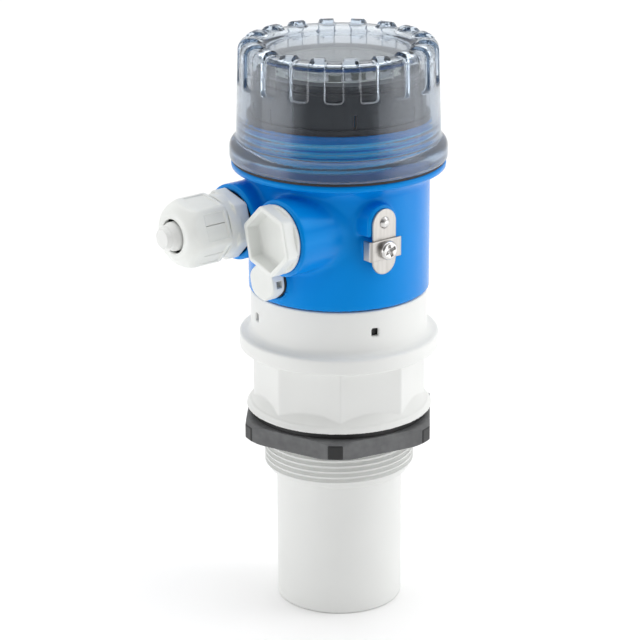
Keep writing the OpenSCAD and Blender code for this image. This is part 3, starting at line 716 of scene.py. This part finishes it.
def connection_field(p):
    x, y, z = p
    r = np.hypot(x, y)
    seat = disc(r, z, SEAT_R, SEAT, SEAT_TOP, 0.35)
    # Cone that rises from the flange to the flats
    cone = np.maximum(np.maximum((r + z - SEAT_TOP - 34.8) * 0.7071, z - SEAT_TOP - 4.5), SEAT + 0.5 - z)
    seat = np.minimum(seat, cone)
    octagon = round_and(prism(x, y, 8, OCTAGON_ACROSS, SENSOR_TURN + 22.5), r - 34.6, 0.8)
    octagon = np.maximum(octagon, np.abs(z - (SEAT_TOP + OCTAGON_TOP) / 2) - 12.2)
    ring = disc(r, z, RING_R, OCTAGON_TOP, RING_TOP, 0.9)
    collar = disc(r, z, COLLAR_R, OCTAGON_TOP + 1, COLLAR_TOP, 0.5)
    fx, fz = r - COLLAR_R - FILLET_R, z - RING_TOP - FILLET_R
    fillet = np.maximum(np.maximum(fx, RING_TOP - 0.5 - z), fz)
    fillet = np.maximum(fillet, FILLET_R - np.hypot(fx, fz))
    solid = np.minimum(np.minimum(seat, collar), fillet)
    solid = np.minimum(round_or(octagon, ring, 0.8), solid)
    solid = cut(solid, np.maximum(r - 31.05, HOUSING_LOW[2] - 2.6 - z), 0.3)
    solid = drill(solid, r, -z, BORE_R, -110)
    # Groove of the spring ring, and its windows in the collar
    belt = np.abs(z - RING_TOP - WINDOW_UP) - WINDOW_HALF
    solid = np.maximum(solid, -np.maximum(np.abs(r - 30) - 3.1, belt))
    for i in range(4):
        a = math.radians(SENSOR_TURN + 90 * i)
        along = x * math.cos(a) + y * math.sin(a)
        across = y * math.cos(a) - x * math.sin(a)
        solid = cut(solid, np.maximum(np.maximum(np.abs(across) - 1.45, belt), 30 - along), 0.25)
    return solid


class TRANSMITTER_OT_connection(bpy.types.Operator):
    """Builds the sensor tube and the wrench part with its collar"""

    bl_idname = "transmitter.connection"
    bl_label = "Process connection"

    def execute(self, context):
        white = material("moulded_white")
        low, high = (-RING_R, -RING_R, SEAT), (RING_R, RING_R, COLLAR_TOP)
        upper = skin("process_connection", connection_field, low, high, 0.6)
        finish(upper, white, "sensor", "white_plastic", "sensor_body")
        tube = lathe("sensor_tube", [
            (0, 0), *arc((TUBE_R - 1.0, 1.0), 1.0, -90, 0), (TUBE_R, THREAD_BOTTOM),
            (ROOT_R - 0.5, THREAD_BOTTOM), (ROOT_R, THREAD_BOTTOM + 0.4), (ROOT_R, SEAT + 0.02),
            (BORE_R, SEAT + 0.02), (BORE_R, FACE_T), (0, FACE_T)])
        sharpen(tube, 40)
        finish(tube, white, "sensor", "white_plastic")
        return {"FINISHED"}


# ---- Threads ----


def thread_tree():
    """A helical ridge round +Z: a spiral swept with a trapezium."""
    group = bpy.data.node_groups.new("helical_ridge", "GeometryNodeTree")
    face = group.interface
    face.new_socket("Geometry", in_out="INPUT", socket_type="NodeSocketGeometry")
    for name, value in (("Radius", 0.03), ("Pitch", 0.002), ("Turns", 5.0), ("Start", 0.0),
                        ("Depth", 0.001), ("Crest", 0.0005), ("Base", 0.0018)):
        face.new_socket(name, in_out="INPUT", socket_type="NodeSocketFloat").default_value = value
    face.new_socket("Finish", in_out="INPUT", socket_type="NodeSocketMaterial")
    face.new_socket("Geometry", in_out="OUTPUT", socket_type="NodeSocketGeometry")
    tree = Tree(group)
    given = tree.add("NodeGroupInput").outputs
    spiral = tree.add("GeometryNodeCurveSpiral", Resolution=144, Reverse=True, Rotations=given["Turns"],
                      Start_Radius=given["Radius"], End_Radius=given["Radius"],
                      Height=tree.maths("MULTIPLY", given["Turns"], given["Pitch"]))
    start = tree.fill(tree.add("ShaderNodeCombineXYZ"), 0, 0, given["Start"])
    raised = tree.add("GeometryNodeTransform", Geometry=spiral.outputs[0], Translation=start)
    upright = tree.add("GeometryNodeSetCurveNormal", mode="Z_UP", Curve=raised.outputs[0])
    # Taper the ridge into the core at both ends
    along = tree.add("GeometryNodeSplineParameter").outputs["Factor"]
    rate = tree.maths("MULTIPLY", given["Turns"], 5)
    ends = [tree.maths("ADD", tree.maths("MULTIPLY", way, rate), 0.05)
            for way in (along, tree.maths("SUBTRACT", 1, along))]
    growth = tree.maths("MINIMUM", 1, tree.maths("MINIMUM", *ends))
    # The trapezium stands on the core
    profile = tree.add("GeometryNodeCurvePrimitiveQuadrilateral", mode="TRAPEZOID", Offset=0,
                       Bottom_Width=given["Base"], Top_Width=given["Crest"],
                       Height=tree.maths("MULTIPLY", given["Depth"], 2))
    turned = tree.add("GeometryNodeTransform", Geometry=profile.outputs[0],
                      Rotation=(0, 0, math.radians(-90)))
    sweep = tree.add("GeometryNodeCurveToMesh", Curve=upright.outputs[0], Profile_Curve=turned.outputs[0],
                     Scale=growth, Fill_Caps=True)
    realized = tree.add("GeometryNodeRealizeInstances", Geometry=sweep.outputs[0])
    painted = tree.add("GeometryNodeSetMaterial", Geometry=realized.outputs[0], Material=given["Finish"])
    tree.add("NodeGroupOutput", Geometry=painted.outputs[0])
    return group


def grow(name, group, **values):
    """Runs a node group on an empty mesh and keeps the plain mesh."""
    holder = add_object(name + "_maker", bpy.data.meshes.new(name + "_maker"))
    modifier = holder.modifiers.new("make", "NODES")
    modifier.node_group = group
    sockets = {s.name: s.identifier for s in group.interface.items_tree
               if s.item_type == "SOCKET" and s.in_out == "INPUT"}
    for key, value in values.items():
        modifier[sockets[key]] = value
    graph = bpy.context.evaluated_depsgraph_get()
    mesh = bpy.data.meshes.new_from_object(holder.evaluated_get(graph), depsgraph=graph)
    bpy.data.objects.remove(holder)
    mesh.name = name
    return add_object(name, mesh)


class TRANSMITTER_OT_threads(bpy.types.Operator):
    """Winds the process thread and the mouth thread"""

    bl_idname = "transmitter.threads"
    bl_label = "Threads"

    def execute(self, context):
        size = context.scene.transmitter_sizes
        ridge = thread_tree()
        pitch = size.process_pitch
        process = grow("process_thread", ridge, Radius=(ROOT_R + 0.05) * MM, Pitch=pitch * MM, Turns=9.4,
                       Start=(THREAD_BOTTOM + 1.4) * MM, Depth=1.4 * MM, Crest=0.55 * MM,
                       Base=pitch * 1.55 * MM, Finish=material("moulded_white"))
        sharpen(process, 30)
        finish(process, None, "sensor", "white_plastic")
        pitch = size.mouth_pitch
        mouth = grow("mouth_thread", ridge, Radius=MOUTH_R * MM, Pitch=pitch * MM, Turns=4.2,
                     Start=(MOUTH_TOP - 15.4) * MM, Depth=1.1 * MM, Crest=0.8 * MM, Base=pitch * 1.2 * MM,
                     Finish=material("thread_blue_painted_light"))
        sharpen(mouth, 30)
        finish(mouth, None, "head", "blue_plastic")
        return {"FINISHED"}


# ---- Counter nut ----


NUT_ACROSS = 72.5
NUT_TURN = -42.5 - 90
NUT_BORE_R = 29.75
NUT_CHAMFER_R = 38.6


def nut_field(p):
    x, y, z = p
    r = np.hypot(x, y)
    low, high = NUT_LOW[2], NUT_HIGH[2]
    corners = prism(x, y, 6, 2 * NUT_CORNER_R, NUT_TURN + 30)
    body = round_and(prism(x, y, 6, NUT_ACROSS, NUT_TURN), corners, 0.12)
    body = round_and(body, slab(z, low, high), 0.4)
    chamfer = (r - NUT_CHAMFER_R - np.minimum(z - low, high - z) * 2.0) / 2.24
    body = round_and(body, chamfer, 0.3)
    return cut(body, r - NUT_BORE_R, 0.5)


class TRANSMITTER_OT_nut(bpy.types.Operator):
    """Builds the counter nut"""

    bl_idname = "transmitter.nut"
    bl_label = "Counter nut"

    def execute(self, context):
        piece = skin("counter_nut_shell", nut_field, (-41, -41, NUT_LOW[2]), (41, 41, NUT_HIGH[2]), 0.45)
        finish(piece, material("nut_black"), "nut", "grey_plastic", "counter_nut")
        return {"FINISHED"}


# ---- Housing ----


FLANGE_R = 41.5
FLARE_R = 5
NECK_R = 14.8
ENTRY_POCKET_R = 12.4
VENT_PAD_R = 8.2
VENT_BORE_R = 5.75
WIRING_R = 32.4
WIRING_FLOOR = 134
SPIGOT_R = 31
SPIGOT_BORE_R = 28
CLIP_Z = 121.9


def housing_field(p):
    x, y, z = p
    size = bpy.context.scene.transmitter_sizes
    r = np.hypot(x, y)
    body = disc(r, z, BODY_R, BODY_BOTTOM, FLANGE_TOP, 0.4)
    # The flare below the flange is a quarter of a circle
    fx, fz = r - BODY_R - FLARE_R, z - FLANGE_BOTTOM + FLARE_R
    flare = np.maximum(np.maximum(fx, -fz), z - FLANGE_BOTTOM - 1)
    flare = np.maximum(flare, FLARE_R - np.hypot(fx, fz))
    flange = disc(r, z, FLANGE_R, FLANGE_BOTTOM, FLANGE_TOP, 0.9)
    solid = np.minimum(np.minimum(body, flare), flange)
    entries = []
    for y0 in (ENTRY_Y, -ENTRY_Y):
        lx, ly, lz = from_entry(p, y0, ENTRY_Z)
        entries.append((np.hypot(lx, ly), lz))
    necks = round_or(*(disc(er, ez, NECK_R, 10, NECK_END, 0.8) for er, ez in entries), 2.5)
    solid = round_or(solid, np.maximum(necks, x + 12), size.neck_fillet)
    # Arch-topped terminal boss and the pad behind the screw
    lx, ly, lz = from_terminal(p)
    arch = np.hypot(lx, np.maximum(ly - ARCH_UP, 0)) - 7.1
    boss = round_and(arch, 5.2 - ly, 1.2)
    boss = round_or(boss, np.hypot(lx, ly) - 4.4, 1.0)
    boss = round_and(boss, lz - 38, 0.9)
    boss = np.maximum(boss, 20 - lz)
    solid = round_or(solid, boss, size.boss_fillet)
    # Spot face behind the vent
    vx, vy, vz = from_entry(p, VENT_Y, VENT_Z)
    vent = np.hypot(vx, vy)
    solid = round_or(solid, disc(vent, vz, VENT_PAD_R, 15, 35.4, 0.3), 1.0)
    # Spigot in the collar
    solid = np.minimum(solid, disc(r, z, SPIGOT_R, HOUSING_LOW[2], 133, 0.8))
    solid = np.minimum(solid, disc(r, z, MOUTH_R, 160, MOUTH_TOP, 0.5))
    # Wiring space, spigot bore, and the grooves of the spring ring and the O-ring
    solid = drill(solid, r, z, WIRING_R, WIRING_FLOOR)
    solid = drill(solid, r, -z, SPIGOT_BORE_R, -131)
    solid = np.maximum(solid, -np.maximum(29.8 - r, np.abs(z - CLIP_Z) - 1.75))
    solid = np.maximum(solid, -np.maximum(29 - r, np.abs(z - HOUSING_LOW[2] - 4.7) - 1.1))
    for er, ez in entries:
        solid = cut(solid, np.maximum(er - SHANK_R - 0.05, 12 - ez), 0.2)
        solid = cut(solid, np.maximum(er - ENTRY_POCKET_R, 40 - ez), 0.2)
    solid = drill(solid, vent, vz, VENT_BORE_R, 14)
    solid = drill(solid, vent, vz, VENT_POCKET_R, 34)
    solid = drill(solid, np.hypot(lx, ly), lz, 2.05, 32.5)
    return drill(solid, np.hypot(lx, ly - RIVET_UP), lz, 1.55, 35)


class TRANSMITTER_OT_housing(bpy.types.Operator):
    """Builds the moulded housing with its necks, bosses and top flange"""

    bl_idname = "transmitter.housing"
    bl_label = "Housing"

    def execute(self, context):
        low, high = (-42, -41.6, HOUSING_LOW[2]), (41.6, 41.6, MOUTH_TOP)
        piece = skin("housing_shell", housing_field, low, high, 0.8)
        finish(piece, material("moulded_blue"), "head", "blue_plastic", "housing")
        return {"FINISHED"}


# ---- Cover ----


SKIRT_R = 39.45
CROWN_EDGE_R = 38.35
GROOVE_TURN = -43 - 90
GROOVE_LENGTH = 16.2
GROOVE_HALF = 2.0
GROOVE_CORNER = 1.4
WINDOW_R = 26.6
WINDOW_SINK = 3.7


def cover_field(p):
    x, y, z = p
    size = bpy.context.scene.transmitter_sizes
    r = np.hypot(x, y)
    shoulder = COVER_BOTTOM + SHOULDER_UP
    slope = (SKIRT_R - CROWN_EDGE_R) / (COVER_TOP - CROWN_R - shoulder)
    skirt = r - SKIRT_R + slope * (z - shoulder)
    barrel = round_and(skirt, z - COVER_TOP, CROWN_R)
    rim = round_and(r - RIM_R, z - shoulder, 4)
    outer = round_or(barrel, rim, 0.8)
    outer = round_and(outer, COVER_BOTTOM - z, 0.9)
    # Grip grooves that run up over the crown
    step = 2 * math.pi / size.grooves
    angle = np.arctan2(y, x) - math.radians(GROOVE_TURN)
    angle = angle - step * np.round(angle / step)
    across, along = r * np.sin(angle), r * np.cos(angle)
    bottom = COVER_TOP - GROOVE_LENGTH
    qx, qz = np.abs(across) - GROOVE_HALF, bottom + GROOVE_CORNER - z
    slot = np.hypot(np.maximum(qx, 0), np.maximum(qz, 0)) - GROOVE_CORNER + np.minimum(np.maximum(qx, qz), 0)
    groove = np.maximum(slot, -(outer + size.groove_depth))
    outer = cut(outer, groove, 0.35)
    # Sunken window
    window = COVER_TOP - WINDOW_SINK
    up = z - window - 0.6
    dish = np.where(up > 0, (r - WINDOW_R - 0.5 - up * 1.435) / 1.75, r - WINDOW_R)
    outer = cut(outer, np.maximum(dish, window - z), 0.5)
    # Cavity, with the female thread low in its wall and a channel below the crown
    top = COVER_TOP - 6.3
    bore_low, bore_high = 36.5, CROWN_EDGE_R - size.groove_depth - 1.3
    t = np.clip((z - MOUTH_TOP - 1) / (top - 2.4 - MOUTH_TOP - 1), 0, 1)
    bore = r - (bore_low + (bore_high - bore_low) * t)
    turn = z / size.mouth_pitch - np.arctan2(y, x) / (2 * math.pi)
    ridge = np.abs(turn - np.round(turn)) * 2
    height = np.clip(np.minimum(z - COVER_BOTTOM - 3.2, MOUTH_TOP + 0.6 - z) / 1.2, 0, 1)
    bore = bore - 0.6 * height * (0.5 + 0.5 * np.cos(math.pi * ridge))
    hollow = round_and(bore, z - top, 2.4)
    channel = round_and(round_and(bore, 29.6 - r, 1.2), z - COVER_TOP + 2.9, 2.0)
    hollow = round_or(hollow, np.maximum(channel, top - 4 - z), 0.8)
    return cut(outer, hollow, 0.3)


class TRANSMITTER_OT_cover(bpy.types.Operator):
    """Builds the clear screw cover with its grip grooves"""

    bl_idname = "transmitter.cover"
    bl_label = "Screw cover"

    def execute(self, context):
        low, high = (-RIM_R, -RIM_R, COVER_BOTTOM), (RIM_R, RIM_R, COVER_TOP)
        piece = skin("screw_cover", cover_field, low, high, 0.68)
        finish(piece, material("smoke_clear"), "lid", "clear_plastic", "cover")
        return {"FINISHED"}


# ---- Fittings ----


HEX_ACROSS = 24.0
GLAND_TURN = 15.4
CAP_TURN = 20
PLUG_TURN = 13.4


def turned_hex(lx, ly, lz, low, high, turn, edge):
    """A hexagon whose corners are turned round."""
    body = round_and(prism(lx, ly, 6, HEX_ACROSS, turn), np.hypot(lx, ly) - HEX_ACROSS / 2 * 1.125, 0.35)
    return round_and(body, slab(lz, low, high), edge)


def gland_field(p):
    lx, ly, lz = from_entry(p, ENTRY_Y, ENTRY_Z)
    r = np.hypot(lx, ly)
    back = FITTING_BACK
    body = turned_hex(lx, ly, lz, back, back + 6.2, GLAND_TURN, 0.5)
    body = np.minimum(body, disc(r, lz, 12.3, back + 4, -CAP_HIGH[0] - 0.3, 0.3))
    body = np.minimum(body, disc(r, lz, 11, back + 4, -CAP_HIGH[0] + 10.6, 0.5))
    body = np.minimum(body, disc(r, lz, SHANK_R, back - 9.5, back + 2, 0.5))
    body = drill(body, r, -lz, 7.5, CAP_HIGH[0] - 3)
    return drill(body, r, lz, 9.6, 2.5 - CAP_HIGH[0])


def cap_field(p):
    lx, ly, lz = from_entry(p, ENTRY_Y, ENTRY_Z)
    r = np.hypot(lx, ly)
    back, front = -CAP_HIGH[0], -CAP_LOW[0]
    shoulder = back + 11.8
    # Dome from the shoulder to the lip
    dome = np.hypot(r - 3.6, (lz - shoulder) * 1.25) - 9.9
    dome = np.where(lz < shoulder, r - 13.5, dome)
    body = round_and(prism(lx, ly, 6, HEX_ACROSS, CAP_TURN), dome, 0.5)
    body = round_and(body, slab(lz, back, front), 0.4)
    # Shallow panels leave a rib along each corner
    for i in range(6):
        a = math.radians(CAP_TURN + 30 + 60 * i)
        out = lx * math.cos(a) + ly * math.sin(a)
        side = np.abs(ly * math.cos(a) - lx * math.sin(a))
        panel = round_and(np.maximum(side - 5.1, np.abs(lz - back - 6.2) - 4.6), 11.6 - out, 0.2)
        body = cut(body, panel, 0.3)
    # The bore narrows towards the lip
    bore = np.interp(lz, (shoulder, shoulder + 0.5, shoulder + 5.4), (11.3, 9.8, 6.6))
    return cut(body, r - bore, 0.3)


def plug_field(p):
    lx, ly, lz = from_entry(p, -ENTRY_Y, ENTRY_Z)
    r = np.hypot(lx, ly)
    back, front = FITTING_BACK, -PLUG_LOW[0]
    body = turned_hex(lx, ly, lz, back + 1, front, PLUG_TURN, 0.6)
    body = np.minimum(body, disc(r, lz, 13.2, back, back + 1.5, 0.5))
    body = np.minimum(body, disc(r, lz, SHANK_R, back - 9.5, back + 0.5, 0.5))
    # Hexagonal socket with a little draft
    draft = np.maximum(front - lz, 0) * 0.12
    socket = round_and(prism(lx, ly, 6, 20.2, PLUG_TURN) + draft, front - 5.2 - lz, 0.8)
    return cut(body, socket, 0.35)


def vent_field(p):
    lx, ly, lz = from_entry(p, VENT_Y, VENT_Z)
    r = np.hypot(lx, ly)
    back, front = 35.5, -VENT_LOW[0]
    body = round_and(disc(r, lz, 7.3, back, front, 0.7), prism(lx, ly, 6, 13.7, 12), 0.4)
    body = np.minimum(body, disc(r, lz, 5.7, -VENT_HIGH[0], back + 1, 0.4))
    # Breathing slots under the cap's rim
    slots = np.maximum(np.minimum(np.abs(lx), np.abs(ly)) - 1.3, np.abs(lz - back - 2.5) - 1.3)
    body = cut(body, slots, 0.15)
    return drill(body, r, -lz, 2.2, -back - 2)


class TRANSMITTER_OT_gland(bpy.types.Operator):
    """Builds the cable gland with its cap nut and transport plug"""

    bl_idname = "transmitter.gland"
    bl_label = "Cable gland"

    def execute(self, context):
        y, z = ENTRY_Y, ENTRY_Z
        white = material("gland_white")
        body = skin("gland_shell", gland_field, *entry_box(GLAND_LOW, GLAND_HIGH, y, z, HEX_REACH), 0.4)
        finish(body, white, "head", "gland_plastic", "gland_body")
        cap = skin("cap_nut", cap_field, *entry_box(CAP_LOW, CAP_HIGH, y, z, HEX_REACH), 0.27)
        finish(cap, white, "gland_nut", "gland_plastic", "gland_cap")
        tip, rear, lip = -STOPPER_LOW[0], -STOPPER_HIGH[0], -CAP_LOW[0]
        stopper = lathe("transport_stopper", [
            (0, rear), (4.9, rear), (4.9, lip - 3.5), (5.6, lip - 3.2), (5.6, lip + 0.2), (5.4, lip + 0.6),
            (5.0, lip + 1.6), (4.9, lip + 2.6), (4.6, lip + 2.9), (4.3, lip + 3.1), (4.1, tip - 0.6),
            (3.6, tip), (0, tip)], 96)
        turn = Matrix(((0, 0, -1, 0), (0, 1, 0, y * MM), (1, 0, 0, z * MM), (0, 0, 0, 1)))
        stopper.data.transform(turn)
        sharpen(stopper, 45)
        finish(stopper, material("moulded_white"), "gland_insert", "white_plastic", "transport_plug")
        return {"FINISHED"}


class TRANSMITTER_OT_plugs(bpy.types.Operator):
    """Builds the blanking plug and the vent plug"""

    bl_idname = "transmitter.plugs"
    bl_label = "Plugs"

    def execute(self, context):
        white = material("gland_white")
        space = entry_box(PLUG_LOW, PLUG_HIGH, -ENTRY_Y, ENTRY_Z, HEX_REACH)
        plug = skin("blanking_shell", plug_field, *space, 0.36)
        finish(plug, white, "blank", "gland_plastic", "blanking_plug")
        space = entry_box(VENT_LOW, VENT_HIGH, VENT_Y, VENT_Z, VENT_POCKET_R)
        vent = skin("vent_shell", vent_field, *space, 0.3)
        finish(vent, white, "vent", "gland_plastic", "vent_plug")
        return {"FINISHED"}


# ---- Ground terminal ----


def strip_field(p):
    lx, ly, lz = from_terminal(p)
    outline = np.hypot(lx, np.maximum(np.maximum(ly - ARCH_UP, -4.3 - ly), 0)) - 5.7
    body = round_and(outline, np.abs(lz - (STRIP_FACE - 0.5)) - 0.48, 0.22)
    body = np.maximum(body, SCREW_HOLE_R - np.hypot(lx, ly))
    return np.maximum(body, 1.55 - np.hypot(lx, ly - RIVET_UP))


CLAMP_X = 7.5
CLAMP_Y = 3.8


def clamp_field(p):
    lx, ly, lz = from_terminal(p)
    plate = np.maximum(np.abs(lx) - CLAMP_X, np.abs(ly) - CLAMP_Y)
    plate = round_and(plate, np.abs(lz - (STRIP_FACE + 0.5)) - 0.48, 0.2)
    leg = np.maximum(np.abs(lx + CLAMP_X - 0.5) - 0.5, np.abs(ly) - CLAMP_Y)
    leg = round_and(leg, np.abs(lz - 37.7) - 2.3, 0.2)
    body = round_or(plate, leg, 0.5)
    outside = round_and(-lx - CLAMP_X, lz - 39.98, 1.2)
    body = np.maximum(body, outside)
    return np.maximum(body, SCREW_HOLE_R - np.hypot(lx, ly))


def screw_field(p):
    lx, ly, lz = from_terminal(p)
    r = np.hypot(lx, ly)
    seat = 40.02
    head = round_and(r - 3.7, lz - seat - 2.48, 1.1)
    head = round_and(head, seat - lz, 0.15)
    body = np.minimum(head, disc(r, lz, 2.0, 33.0, seat + 0.5, 0.3))
    # Cross recess
    for a in (20, 110):
        c, s = math.cos(math.radians(a)), math.sin(math.radians(a))
        across, along = np.abs(ly * c - lx * s), np.abs(lx * c + ly * s)
        slot = np.maximum(np.maximum(across - 0.62, along - 2.5), seat + 0.9 + along * 0.25 - lz)
        body = cut(body, slot, 0.12)
    return body


def rivet_field(p):
    lx, ly, lz = from_terminal(p)
    r = np.hypot(lx, ly - RIVET_UP)
    dome_r, dome_h = 3.0, 1.2
    head = np.sqrt(r * r + (lz - (STRIP_FACE + dome_h - dome_r)) ** 2) - dome_r
    head = round_and(head, STRIP_FACE - lz, 0.1)
    return np.minimum(head, disc(r, lz, 1.5, 35.2, STRIP_FACE + 0.3, 0.1))


class TRANSMITTER_OT_terminal(bpy.types.Operator):
    """Builds the ground terminal"""

    bl_idname = "transmitter.terminal"
    bl_label = "Ground terminal"

    def execute(self, context):
        for name, field, look, body, node, step in (
                ("ground_strap", strip_field, "stainless", "head", "ground_strip", 0.2),
                ("wire_clamp", clamp_field, "stainless", "clamp", "ground_clamp", 0.2),
                ("pan_screw", screw_field, "polished_steel", "clamp_screw", "ground_screw", 0.15),
                ("rivet_head", rivet_field, "polished_steel", "head", "ground_rivet", 0.18)):
            piece = skin(name, field, *edges(node), step)
            finish(piece, material(look), body, "steel", node)
        return {"FINISHED"}


# ---- Panel and run ----


OPERATORS = (
    TRANSMITTER_OT_stage, TRANSMITTER_OT_finishes, TRANSMITTER_OT_connection, TRANSMITTER_OT_threads,
    TRANSMITTER_OT_nut, TRANSMITTER_OT_housing, TRANSMITTER_OT_cover, TRANSMITTER_OT_gland,
    TRANSMITTER_OT_plugs, TRANSMITTER_OT_terminal,
)
GROUPS = {
    "transmitter_finish": TRANSMITTER_PG_finish,
    "transmitter_sizes": TRANSMITTER_PG_sizes,
    "transmitter_stage": TRANSMITTER_PG_stage,
}


class TRANSMITTER_PT_panel(bpy.types.Panel):
    """Lists the pieces and their settings"""

    bl_idname = "TRANSMITTER_PT_panel"
    bl_label = "Level transmitter"
    bl_space_type = "VIEW_3D"
    bl_region_type = "UI"
    bl_category = "Transmitter"

    def draw(self, context):
        for group in GROUPS:
            box = self.layout.box()
            settings = getattr(context.scene, group)
            for key in settings.bl_rna.properties.keys():
                if key not in ("rna_type", "name"):
                    box.prop(settings, key)
        for operator in OPERATORS:
            self.layout.operator(operator.bl_idname)


CLASSES = (*GROUPS.values(), *OPERATORS, TRANSMITTER_PT_panel)


def register():
    for item in CLASSES:
        bpy.utils.register_class(item)
    for name, group in GROUPS.items():
        setattr(bpy.types.Scene, name, bpy.props.PointerProperty(type=group))


def unregister():
    for name in GROUPS:
        delattr(bpy.types.Scene, name)
    for item in reversed(CLASSES):
        bpy.utils.unregister_class(item)


def main():
    register()
    for operator in OPERATORS:
        group, name = operator.bl_idname.split(".")
        getattr(getattr(bpy.ops, group), name)()


if __name__ == "__main__":
    main()
